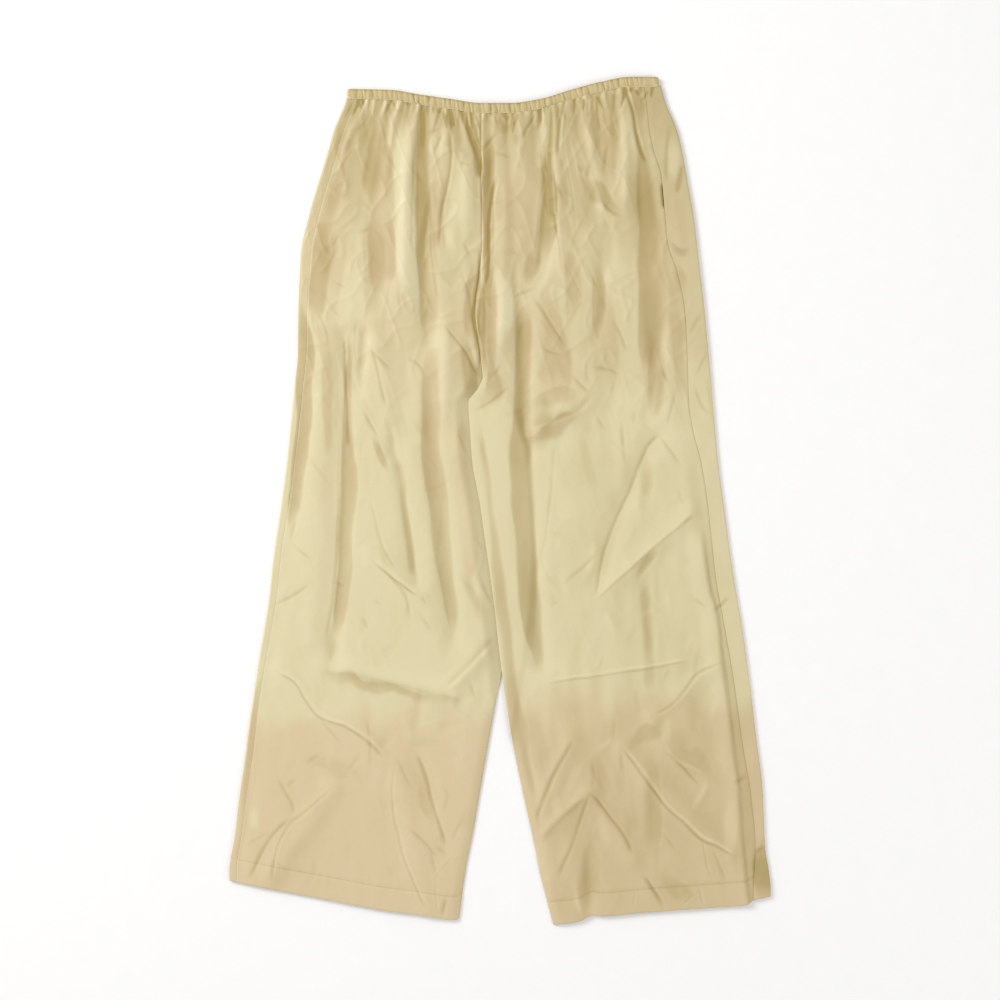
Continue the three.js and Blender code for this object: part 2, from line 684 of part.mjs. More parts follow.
/** Pocket pouch: two plies joined all round except at the mouth, its outline's first side. */
function pocketBag(outline, side) {
  const thickness = 2 * POCKET.wall + POCKET.slot;
  const middleX = outline.reduce((sum, point) => sum + point.x, 0) / outline.length;
  const middleY = outline.reduce((sum, point) => sum + point.y, 0) / outline.length;
  const inset = outline.map((point, i) => {
    const dx = middleX - point.x;
    const dy = middleY - point.y;
    const share = POCKET.seamWidth / Math.hypot(dx, dy);
    if (i > 1) return { x: point.x + dx * share, y: point.y + dy * share };
    const along = i === 0 ? -POCKET.seamWidth : POCKET.seamWidth;
    return { x: point.x + side * POCKET.seamWidth, y: point.y + along };
  });
  const pouch = toSolid(plate(outline, POCKET.bottom, thickness));
  const slot = toSolid(plate(inset, POCKET.bottom + POCKET.wall, POCKET.slot));
  return toGeometry(pouch.subtract(slot));
}

/** Named mesh of one cut piece. */
function piece(name, geometry, material) {
  geometry.computeVertexNormals();
  const mesh = new THREE.Mesh(geometry, material);
  mesh.name = name;
  return mesh;
}

const pants = new THREE.Group();
for (const [name, leg] of [["right", RIGHT_LEG], ["left", LEFT_LEG]]) {
  pants.add(piece(`front_${name}`, clothWall(frontRows(leg), leg.side), SATIN.clone()));
  pants.add(piece(`back_${name}`, clothWall(backRows(leg), leg.side), SATIN.clone()));
}
pants.add(piece("waist_casing", casingRing(), SATIN.clone()));
pants.add(piece("pocket_bag_left", pocketBag(LEFT_POCKET, 1), SATIN_INSIDE.clone()));
pants.add(piece("pocket_bag_right", pocketBag(RIGHT_POCKET, -1), SATIN_INSIDE.clone()));

export default pants;
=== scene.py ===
"""Relaxed pull-on pants of thin champagne satin, laid flat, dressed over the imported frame.

Sizes are in millimetres in the part's own frame and turned into metres as each mesh is made.
Left and right are the wearer's, so the right leg lies at -X and +Y points to the waist.
"""

import logging
import math
from dataclasses import dataclass
from enum import Enum
from typing import Callable, ClassVar, NamedTuple

import bpy
import numpy as np
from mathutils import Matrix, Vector


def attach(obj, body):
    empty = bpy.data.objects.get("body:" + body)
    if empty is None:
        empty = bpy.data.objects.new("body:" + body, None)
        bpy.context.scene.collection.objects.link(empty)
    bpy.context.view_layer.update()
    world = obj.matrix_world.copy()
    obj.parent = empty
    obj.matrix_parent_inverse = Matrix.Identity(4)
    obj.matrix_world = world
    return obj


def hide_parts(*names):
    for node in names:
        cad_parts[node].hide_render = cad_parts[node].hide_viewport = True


LOG = logging.getLogger("pants")
MM = 0.001
Grid = np.ndarray

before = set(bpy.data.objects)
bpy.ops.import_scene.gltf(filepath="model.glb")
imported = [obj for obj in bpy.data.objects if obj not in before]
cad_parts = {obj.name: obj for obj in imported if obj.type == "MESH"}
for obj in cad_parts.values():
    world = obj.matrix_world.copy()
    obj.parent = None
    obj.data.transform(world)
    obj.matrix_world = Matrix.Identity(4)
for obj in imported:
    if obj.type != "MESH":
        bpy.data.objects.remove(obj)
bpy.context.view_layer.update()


class Slot(Enum):
    """Material slots of the record."""

    SATIN = "satin"
    CASING = "satin_casing"
    POCKET = "pocketing"


class Section(NamedTuple):
    """One height on a leg: the outer fold and the side seam rolled onto the front."""

    y: float
    outer: float
    seam: float


class Point(NamedTuple):
    """A place on the plan of the garment."""

    x: float
    y: float


class Level(NamedTuple):
    """Heights above the surface at one place down the garment."""

    y: float
    body: float
    edge: float


class Swell(NamedTuple):
    """One of the broad folds: its two ends, half width and height."""

    x0: float
    y0: float
    x1: float
    y1: float
    width: float
    height: float


def table(kind: type, *rows: tuple[float, ...]) -> tuple:
    """Rows of numbers as rows of a kind that names its columns."""
    return tuple(kind(*row) for row in rows)


RIGHT_SECTIONS = table(
    Section,
    (500, -185, -173), (487, -187.5, -175.5), (451, -202, -190), (402, -216.5, -204.5),
    (353, -231, -219), (304, -242, -230), (280, -243.5, -232), (231, -246, -235), (182, -246, -236),
    (142, -250, -240), (85, -255.5, -246), (-2, -266, -257), (-62, -275, -266.5), (-110, -280, -271.5),
    (-159, -287.5, -279), (-209, -296, -288), (-257, -303, -295), (-306, -309.5, -301),
    (-354, -316.5, -308), (-403, -322.5, -314.5), (-452, -330, -321), (-512, -327, -319),
)
LEFT_SECTIONS = table(
    Section,
    (510, 195, 175), (487, 201, 178), (451, 215.5, 182), (426, 221.5, 187), (397, 227, 196),
    (353, 235, 200.5), (314, 240, 204), (280, 244, 215), (231, 249, 225), (182, 254, 228),
    (119, 259.5, 230), (85, 262.5, 235), (48, 265.5, 244.5), (-5, 272.5, 253), (-51, 278.5, 258),
    (-96, 285.5, 263), (-130, 291, 269), (-171, 297.5, 276.5), (-209, 302.5, 283), (-257, 308.5, 290),
    (-301, 314, 296), (-359, 320.5, 305.5), (-425, 323, 311), (-452, 327.5, 310), (-476, 330, 308.5),
    (-518, 328, 308),
)
CENTRE_SEAM = table(
    Point,
    (-22.5, 500), (-23, 397), (-22, 353), (-22, 314), (-25, 280), (-30.5, 231), (-25, 182), (-21, 148),
)
RIGHT_INSEAM = table(
    Point,
    (-21, 148), (-12, 119), (-2, 85), (6.5, 60), (11.5, -2), (15, -62), (13, -110), (8, -159),
    (2, -209), (-7, -257), (-15.5, -306), (-24, -354), (-32.5, -403), (-42, -452), (-50, -512),
)
LEFT_INSEAM = table(
    Point,
    (-21, 148), (-27, 135), (-38.5, 119), (-36.5, 85), (-34, 48), (-24.5, -5), (-18, -51), (-11.5, -96),
    (-7, -130), (-2.5, -171), (2, -209), (9, -257), (16.5, -301), (28.5, -359), (43, -425), (48, -452),
    (54, -476), (65, -518),
)
RIGHT_HEM = table(
    Point,
    (-328, -464), (-292, -471.5), (-243, -481), (-195, -490), (-146, -499.5), (-97, -506),
    (-54, -511.8), (-48, -507),
)
LEFT_HEM = table(
    Point,
    (66, -517.9), (86, -515.5), (98, -513), (114, -505.7), (123, -507), (171, -503), (220, -499.5),
    (269, -496), (299, -493.5), (308, -488),
)
LEFT_BACK_HEM = table(
    Point,
    (66, -515), (114, -503), (171, -500), (269, -493.5), (300, -491), (308, -488), (328, -483.5),
)
CASING_TOP = table(
    Point,
    (-186, 500.8), (-134, 499.6), (-98, 494), (-60, 488.6), (-24, 483.7), (13, 483.7), (49, 488.6),
    (86, 499.6), (123, 509.4), (159, 515.5), (194, 515.5),
)
LEVELS = table(
    Level,
    (510, 5.2, 5.2), (440, 5.8, 5.3), (330, 5.9, 5.3), (215, 5.7, 5.2), (140, 5.4, 4.6), (0, 5.2, 4.2),
    (-250, 5.0, 4.2), (-520, 5.0, 4.3),
)
# Width of the strip that the left front panel's soft side fold leaves bare, by height
LAP_WIDTH = table(
    Point,
    (8, -10), (10, -40), (9, -107), (6, -141), (10, -196), (10.5, -242), (13, -336), (16, -406),
    (11.5, -450), (4, -492),
)
SWELLS = table(
    Swell,
    (-179, 458, -197, 400, 12, 1.6), (-157, 480, -147, 243, 13, -1.8), (-113, 430, -117, 262, 13, 2.6),
    (-95, 457, -91, 190, 13, -3.2), (-46, 446, -46, 321, 16, 2.4), (-56, 470, -38, 420, 9, -2),
    (-67, 212, -67, 102, 14, 2), (-187, 198, -203, -208, 13, -2.4), (-216, 170, -231, -170, 14, 2),
    (-168, 225, -171, 141, 11, -2.2), (-148, 190, -132, 85, 12, 2), (-128, 85, -101, -99, 12, -2.2),
    (-85, 85, -58, -171, 15, -2), (-153, -73, -98, -116, 15, 2.6), (-22, -185, -68, -232, 14, 2.4),
    (-210, -207, -40, -243, 16, 2.4), (-271, -207, -141, -313, 15, 2.6),
    (-101, -308, -65, -424, 12, -2), (-127, -323, -87, -498, 13, 2), (-204, -352, -279, -459, 14, 2.3),
    (49, 451, 43, 280, 13, -2.8), (65, 478, 74, 286, 10, 3), (8, 376, 3, 187, 10, 2.2),
    (-13, 392, -15, 300, 7, -1.8), (108, 390, 128, 285, 13, -2.4), (152, 478, 152, 353, 13, 2.2),
    (172, 452, 190, 170, 12, -1.7), (24, 245, 30, 60, 14, -2.4), (26, 18, 50, -196, 13, -2.2),
    (110, 124, 37, 87, 14, 2.2), (192, 80, 150, -5, 12, -2.2), (150, -5, 117, -120, 12, -2.2),
    (117, -120, 237, -14, 13, 2.6), (60, -221, 231, -195, 15, 1.6), (262, -203, 187, -265, 13, 2.2),
    (88, -293, 45, -395, 13, 2.3), (109, -357, 57, -412, 12, 2), (109, -357, 163, -434, 13, 2.3),
    (149, -301, 278, -430, 13, 2.9), (203, -298, 257, -336, 13, 1.8), (108, -429, 108, -500, 10, -1.6),
)


@dataclass(frozen=True)
class PhotoFrame:
    """The photograph's pixels as places on the garment."""

    mm_per_px: float = 1.22
    middle_px: float = 499.5

    def place(self, px: float, py: float) -> tuple[float, float]:
        """The place in millimetres that a pixel shows."""
        return (px - self.middle_px) * self.mm_per_px, (self.middle_px - py) * self.mm_per_px

    def row(self, y: float) -> float:
        """The pixel row that shows a height on the garment."""
        return self.middle_px - y / self.mm_per_px


PHOTO = PhotoFrame()


class Fold(Enum):
    """Shapes that a crease has across its line."""

    ROLL = "soft round ridge"
    HOLLOW = "soft trough"
    PINCH = "sharp crest"
    FURROW = "sharp trough"
    TUCK = "ridge that drops steeply on its right"

    @property
    def soft(self) -> bool:
        """Whether it is round rather than sharp."""
        return self in (Fold.HOLLOW, Fold.ROLL)


@dataclass(frozen=True)
class Crease:
    """One fold of the cloth along a line.

    Attributes:
        kind: Shape across the line.
        width: Half width in millimetres.
        height: Height or depth in millimetres.
        path: Pixels of the photograph that the line passes.
    """

    kind: Fold
    width: float
    height: float
    path: tuple[tuple[float, float], ...]


def creases_of(kind: Fold) -> Callable[..., Crease]:
    """Maker of one kind of crease."""

    def make(width: float, height: float, *path: tuple[float, float]) -> Crease:
        """A crease with its half width, height and the pixels of its line."""
        return Crease(kind, width, height, path)

    return make


roll, hollow, pinch, furrow, tuck = map(creases_of, Fold)
LEAST_WIDTH = 1.9


def ridge(height: float, *path: tuple[float, float]) -> Crease:
    """A sharp crest of the least width that the cloth's grid can hold."""
    return pinch(LEAST_WIDTH, height, *path)


def crinkle(depth: float, *path: tuple[float, float]) -> Crease:
    """A sharp trough of that width."""
    return furrow(LEAST_WIDTH, depth, *path)


# Each crease: half width but for crinkles and ridges, height in millimetres, then the pixels of its line
HIP_RIGHT = (
    crinkle(0.9, (353, 101), (343, 121)), crinkle(1.1, (360, 100), (352, 117)),
    hollow(5, 1.2, (371, 106), (358, 134), (344, 162)), roll(4.5, 0.9, (353, 124), (345, 148), (338, 172)),
    crinkle(0.8, (389, 101), (386, 115)), hollow(3, 0.7, (389, 112), (388, 149)),
    hollow(3, 0.6, (396, 125), (396, 152)), crinkle(0.5, (392, 111), (406, 111)),
    roll(7, 1.4, (417, 108), (407, 159), (405, 200), (404, 270), (410, 288)),
    furrow(2.6, 2.4, (422, 104), (422, 150)),
    hollow(7.5, 1.8, (422, 112), (423, 160), (422, 185), (422, 250), (428, 301), (430, 339), (432, 356)),
    pinch(2, 0.8, (414, 160), (412, 250)), pinch(2, 0.7, (431, 185), (432, 250), (439, 301)),
    furrow(2, 0.7, (408, 358), (419, 365), (427, 378)), hollow(7, 1.2, (427, 378), (428, 403), (431, 450)),
    crinkle(0.8, (443, 134), (432, 157)), crinkle(0.5, (427, 134), (442, 129)),
    furrow(2.6, 2.6, (450, 104), (452, 132)), hollow(5, 1.1, (452, 116), (457, 124), (453, 138)),
    furrow(2.2, 0.9, (449, 131), (451, 162), (442, 210), (438, 249)), roll(12, 1.1, (465, 140), (465, 236)),
    crinkle(0.6, (459, 163), (472, 167)), furrow(2.8, 2.6, (461, 104), (470, 134), (479, 159), (480, 180)),
    hollow(8, 1.3, (378, 214), (379, 260), (380, 303)), crinkle(0.5, (373, 226), (359, 234)),
    crinkle(0.6, (341, 234), (331, 249)), crinkle(0.5, (335, 283), (349, 289)),
    crinkle(0.6, (398, 288), (401, 311)), crinkle(0.5, (463, 242), (472, 259)),
)
CENTRE_FRONT = (
    ridge(0.4, (480, 121), (481, 176), (482, 236)), hollow(3, 0.7, (476, 125), (477, 236)),
    crinkle(1.5, (480, 250), (479, 275), (475, 301), (474, 320), (479, 352), (479, 371), (482, 384)),
    hollow(5, 1.0, (488, 150), (488, 205)),
    furrow(2.2, 1.8, (496, 178), (492, 198), (489, 217), (489, 249), (488, 269), (486, 286)),
    crinkle(0.6, (484, 288), (484, 365)), hollow(3, 0.6, (500, 185), (500, 236)),
    crinkle(0.7, (481, 152), (499, 131)), roll(8, 1.3, (502, 262), (502, 350)),
    crinkle(1.0, (445, 325), (452, 335), (465, 352), (478, 378)), hollow(11, 1.0, (466, 346), (466, 409)),
    crinkle(0.5, (461, 273), (470, 301), (478, 365)), crinkle(0.9, (474, 410), (491, 401), (510, 386)),
    crinkle(0.6, (491, 378), (502, 363)), hollow(4, 0.6, (478, 416), (478, 450)),
    hollow(6, 0.9, (486, 388), (484, 400), (497, 391)),
    hollow(8.5, 1.5, (518, 300), (522, 340), (522, 440)),
)
HIP_LEFT = (
    crinkle(0.6, (493, 152), (514, 159)), ridge(0.6, (511, 116), (512, 151)),
    furrow(2, 1.0, (536, 113), (518, 143)), hollow(4, 1.0, (518, 134), (518, 146)),
    furrow(2.4, 1.8, (541, 103), (539, 132)),
    hollow(7, 2.0, (546, 108), (548, 160), (549, 200), (546, 236), (541, 285)),
    ridge(0.7, (540, 130), (542, 159), (544, 181), (540, 198), (537, 236), (532, 270)),
    pinch(2.2, 2.0, (553, 105), (551, 146), (551, 178), (553, 210), (556, 220), (562, 270)),
    crinkle(1.1, (563, 102), (559, 130), (556, 159)), crinkle(0.7, (556, 181), (564, 201)),
    hollow(3, 0.8, (563, 158), (563, 170)), ridge(0.7, (567, 108), (564, 146), (573, 198), (576, 236)),
    crinkle(0.6, (577, 102), (577, 114)), crinkle(0.7, (587, 100), (588, 121)),
    crinkle(0.5, (577, 163), (581, 171), (585, 163)), crinkle(0.6, (595, 97), (599, 126), (605, 135)),
    roll(6, 0.9, (591, 127), (591, 153)), crinkle(0.6, (588, 164), (587, 180)),
    hollow(8, 2.0, (589, 186), (592, 210), (604, 225), (606, 245), (606, 274)),
    crinkle(0.8, (601, 201), (611, 212), (624, 218)), hollow(5, 0.9, (615, 102), (615, 155)),
    hollow(3, 0.6, (614, 149), (614, 191)), crinkle(0.6, (608, 141), (602, 178)),
    roll(5.5, 1.2, (624, 106), (625, 160), (625, 212)),
    furrow(2.4, 2.2, (624, 84), (632, 112), (634, 127), (639, 146), (646, 166)),
    hollow(8, 1.4, (641, 148), (646, 190), (650, 236), (651, 282)),
    hollow(9, 1.2, (651, 276), (652, 310), (655, 345), (655, 368)),
    hollow(6, 0.9, (654, 362), (649, 395), (644, 434)), crinkle(0.8, (669, 126), (666, 149), (665, 185)),
    crinkle(0.5, (510, 251), (521, 256)),
)
MIDDLE_LEFT = (
    hollow(4, 0.8, (515, 262), (515, 298)), crinkle(0.7, (512, 297), (537, 287)),
    hollow(6, 1.1, (519, 299), (519, 342), (523, 400), (523, 449)),
    crinkle(0.9, (532, 297), (541, 308), (553, 328), (566, 349)),
    crinkle(0.6, (541, 342), (547, 351), (566, 356)),
    hollow(7, 1.1, (572, 250), (574, 288), (572, 311), (567, 328)), ridge(0.6, (564, 261), (584, 299)),
    hollow(4.5, 0.9, (601, 250), (601, 311), (596, 326), (594, 360)), crinkle(0.6, (586, 264), (598, 293)),
    crinkle(0.5, (586, 363), (587, 377), (593, 385)), crinkle(0.9, (572, 375), (581, 386), (592, 394)),
    crinkle(0.8, (593, 366), (615, 372), (619, 377)), crinkle(0.5, (615, 380), (610, 395)),
    tuck(5, 1.3, (594, 396), (580, 410), (558, 420), (526, 429)), crinkle(0.6, (595, 414), (605, 431)),
    crinkle(0.7, (612, 319), (621, 336), (627, 354)), crinkle(0.6, (661, 368), (668, 382)),
    crinkle(0.5, (635, 409), (633, 424)), crinkle(0.6, (621, 421), (624, 449)),
    crinkle(0.7, (676, 391), (665, 428)), crinkle(0.5, (659, 434), (645, 447)),
    crinkle(0.6, (702, 311), (687, 337)), crinkle(0.6, (707, 349), (693, 380)),
    crinkle(0.7, (694, 385), (700, 403), (710, 417)), crinkle(0.5, (706, 377), (712, 423)),
)
THIGH_RIGHT = (
    furrow(2.0, 1.0, (344, 337), (345, 365), (347, 410), (349, 450)),
    hollow(7.5, 1.6, (349, 420), (349, 482), (346, 516), (341, 585), (338, 602), (334, 642), (332, 664)),
    pinch(2, 0.8, (340, 440), (337, 560), (327, 640)), hollow(5, 1.5, (362, 314), (365, 345), (359, 386)),
    ridge(0.8, (358, 316), (355, 345), (357, 365)), crinkle(0.8, (369, 348), (386, 365), (394, 372)),
    crinkle(0.8, (371, 349), (378, 371), (386, 409)), crinkle(0.8, (363, 409), (380, 441)),
    roll(7, 1.3, (445, 322), (445, 420)), hollow(6, 0.9, (305, 430), (300, 456), (296, 499), (291, 535)),
    crinkle(0.8, (296, 520), (289, 544)), crinkle(0.7, (291, 542), (315, 563)),
    ridge(0.7, (295, 487), (284, 511)), crinkle(0.8, (312, 581), (298, 592), (271, 607)),
    crinkle(0.6, (334, 581), (345, 587)), crinkle(0.5, (309, 456), (333, 489)),
    crinkle(0.6, (376, 435), (389, 470)),
    hollow(4, 1.2, (389, 420), (398, 473), (408, 525), (414, 559), (418, 592)),
    crinkle(0.6, (370, 499), (377, 526), (383, 547), (396, 571)),
    pinch(2.4, 1.8, (374, 559), (393, 576), (405, 585), (419, 595)),
    crinkle(0.8, (386, 571), (405, 595), (410, 621)), crinkle(0.5, (420, 595), (426, 604)),
    crinkle(0.5, (374, 599), (381, 606)), crinkle(0.6, (420, 614), (432, 631)),
    crinkle(0.5, (362, 616), (369, 630)),
    hollow(8.5, 1.6, (430, 400), (433, 473), (438, 507), (442, 542), (445, 576), (453, 616), (454, 650)),
    crinkle(0.6, (457, 430), (467, 456)), hollow(5.5, 1.2, (458, 566), (476, 595), (489, 630)),
    crinkle(0.7, (481, 580), (491, 606)), tuck(4, 2.0, (496, 637), (481, 654), (462, 674), (444, 690)),
    tuck(4.5, 1.5, (327, 669), (370, 675), (414, 686), (434, 690), (467, 699)),
    crinkle(0.7, (469, 681), (475, 698)),
)
SHIN_RIGHT = (
    pinch(2.6, 2.0, (277, 669), (295, 680), (306, 697), (321, 715), (347, 725), (369, 739), (384, 756)),
    crinkle(0.7, (319, 717), (336, 736), (345, 747)), crinkle(0.5, (367, 715), (370, 741), (370, 771)),
    crinkle(0.6, (362, 751), (347, 771)), hollow(5, 0.6, (437, 724), (469, 725)),
    hollow(5, 0.6, (419, 743), (443, 744)), hollow(4, 0.5, (443, 753), (467, 752)),
    hollow(5, 0.7, (419, 697), (415, 743)),
    furrow(2.2, 1.3, (417, 752), (426, 778), (434, 808), (441, 830), (446, 847)),
    crinkle(0.6, (439, 786), (447, 793), (443, 817)), crinkle(0.6, (397, 756), (406, 778), (413, 789)),
    pinch(2.2, 1.3, (395, 764), (393, 789), (395, 817), (399, 832), (406, 860), (417, 886), (428, 908)),
    hollow(12, 1.0, (320, 770), (350, 775), (386, 793)), crinkle(0.5, (308, 762), (321, 752)),
    pinch(2.4, 1.6, (332, 788), (306, 812), (291, 823), (280, 843), (275, 862), (271, 876)),
    furrow(2, 1.1, (290, 817), (273, 834), (260, 856), (247, 882)),
    crinkle(0.8, (278, 776), (284, 789), (293, 806), (291, 817)), crinkle(0.6, (297, 778), (285, 788)),
    crinkle(0.5, (271, 830), (243, 847)), crinkle(0.5, (436, 845), (449, 856)),
    ridge(0.8, (456, 852), (439, 873), (436, 882), (438, 915)), crinkle(0.6, (430, 850), (437, 878)),
    furrow(2, 1.2, (446, 895), (441, 917)), crinkle(0.7, (406, 825), (428, 845), (439, 860)),
    crinkle(0.6, (463, 817), (449, 845)), crinkle(0.7, (275, 854), (271, 882)),
)
THIGH_LEFT = (
    hollow(10, 1.7, (521, 400), (520, 485), (522, 522), (527, 560), (531, 615), (539, 652), (543, 684)),
    hollow(4, 0.9, (479, 430), (484, 473), (489, 507), (497, 568), (510, 645), (516, 707), (536, 798)),
    crinkle(0.5, (554, 448), (548, 513), (543, 545), (541, 560), (553, 585)),
    crinkle(0.6, (598, 552), (582, 567), (561, 585)),
    furrow(1.9, 1.0, (657, 434), (646, 447), (632, 482), (619, 511), (608, 537), (602, 556), (595, 598)),
    crinkle(0.6, (659, 434), (682, 469)), pinch(2.2, 0.8, (595, 598), (633, 563), (665, 535), (694, 511)),
    hollow(4, 1.1, (633, 578), (646, 562), (659, 548)), crinkle(0.5, (682, 524), (693, 513)),
    hollow(6, 0.9, (645, 448), (645, 522)), hollow(6, 0.9, (646, 572), (647, 620), (652, 662)),
    crinkle(0.5, (621, 430), (625, 467)), hollow(4, 0.5, (658, 565), (658, 620)),
    crinkle(0.5, (559, 600), (550, 607)),
    ridge(0.9, (548, 681), (572, 677), (595, 674), (641, 667), (689, 659)),
    crinkle(0.6, (694, 598), (707, 607)), furrow(2, 1.0, (713, 610), (721, 604), (730, 595)),
    pinch(2.2, 1.3, (720, 663), (698, 674), (687, 687), (672, 704), (653, 717)),
    hollow(5, 0.8, (668, 714), (651, 733)),
)
SHIN_LEFT = (
    crinkle(0.5, (614, 719), (612, 742)), roll(3, 0.7, (614, 736), (597, 752)),
    furrow(2.2, 1.4, (572, 740), (553, 775), (540, 805), (536, 823)),
    crinkle(0.6, (591, 760), (593, 775), (591, 790)), tuck(3, 1.6, (538, 840), (566, 811), (589, 792)),
    crinkle(1.0, (589, 792), (582, 813), (570, 847), (557, 878)),
    furrow(2, 1.2, (589, 792), (599, 802), (612, 819), (624, 836), (633, 855)),
    crinkle(0.6, (620, 746), (622, 777)),
    pinch(2.6, 2.2, (622, 746), (639, 767), (664, 802), (683, 819), (700, 836), (718, 844), (735, 855)),
    hollow(5, 0.7, (647, 761), (651, 786), (653, 823)),
    roll(3, 0.9, (666, 744), (674, 758), (693, 767), (710, 775)),
    crinkle(1.0, (664, 750), (685, 769), (700, 786)), roll(3.5, 0.8, (706, 777), (704, 790), (689, 815)),
    ridge(0.8, (702, 838), (706, 861), (712, 878)), crinkle(0.6, (712, 847), (725, 882)),
    crinkle(0.6, (662, 832), (676, 851)), hollow(4, 0.6, (695, 717), (695, 733)),
    hollow(6, 1.4, (588, 848), (588, 912)), furrow(2.4, 1.3, (643, 874), (654, 890), (664, 907)),
    ridge(0.8, (698, 884), (704, 905)), ridge(0.8, (698, 890), (679, 907)),
    ridge(0.7, (635, 890), (632, 907)), roll(3, 0.8, (576, 891), (582, 916)),
    crinkle(0.8, (733, 783), (748, 774)), crinkle(0.8, (753, 852), (766, 845)),
)
FRONT_CREASES = (
    HIP_RIGHT + CENTRE_FRONT + HIP_LEFT + MIDDLE_LEFT + THIGH_RIGHT + SHIN_RIGHT + THIGH_LEFT + SHIN_LEFT
)
# Shallow hollows of the underside, where the cloth stands off the surface
BACK_CREASES = (
    furrow(3, 1.0, (380, 112), (374, 190), (362, 260)), furrow(3, 1.1, (430, 114), (428, 210), (436, 330)),
    furrow(2.5, 0.9, (462, 116), (466, 180), (462, 250)),
    furrow(3, 1.1, (540, 114), (546, 200), (540, 290)), furrow(3, 1.0, (600, 100), (610, 190), (604, 270)),
    furrow(2.5, 0.8, (640, 96), (652, 170), (660, 240)), hollow(7, 1.2, (350, 330), (348, 470), (336, 640)),
    hollow(7, 1.1, (420, 420), (432, 540), (440, 640)), furrow(3, 1.0, (390, 540), (420, 580), (436, 600)),
    furrow(3, 1.1, (290, 680), (330, 716), (372, 742)),
    furrow(2.5, 0.9, (300, 800), (274, 840), (262, 876)),
    furrow(2.5, 0.9, (420, 760), (434, 810), (446, 860)),
    hollow(7, 1.2, (524, 420), (530, 540), (536, 660)), hollow(7, 1.0, (640, 400), (648, 520), (656, 640)),
    furrow(3, 1.0, (600, 590), (650, 550), (690, 520)), furrow(3, 1.1, (572, 740), (552, 780), (540, 820)),
    furrow(3, 1.1, (626, 750), (668, 804), (726, 850)),
    furrow(2.5, 0.9, (590, 800), (612, 824), (632, 860)),
    hollow(6, 0.9, (690, 660), (700, 740), (706, 800)),
    furrow(2.5, 0.8, (350, 370), (376, 400), (392, 440)),
)


@dataclass(frozen=True)
class Facet:
    """A flat face of the cloth that takes the light differently from the cloth beside it.

    Attributes:
        warm: How much more beige it is.
        dark: How much darker it is, below 0 where it is paler.
        left: Softness in pixels of its left edge as the line runs down, or of its lower edge.
        right: Softness of the other edge.
        path: Pixels that its middle line passes, each with the half width there.
    """

    warm: float
    dark: float
    left: float
    right: float
    path: tuple[tuple[float, float, float], ...]


def facet(warm: float, dark: float, left: float, right: float, *path: tuple[float, float, float]) -> Facet:
    """A flat face along a line."""
    return Facet(warm, dark, left, right, path)


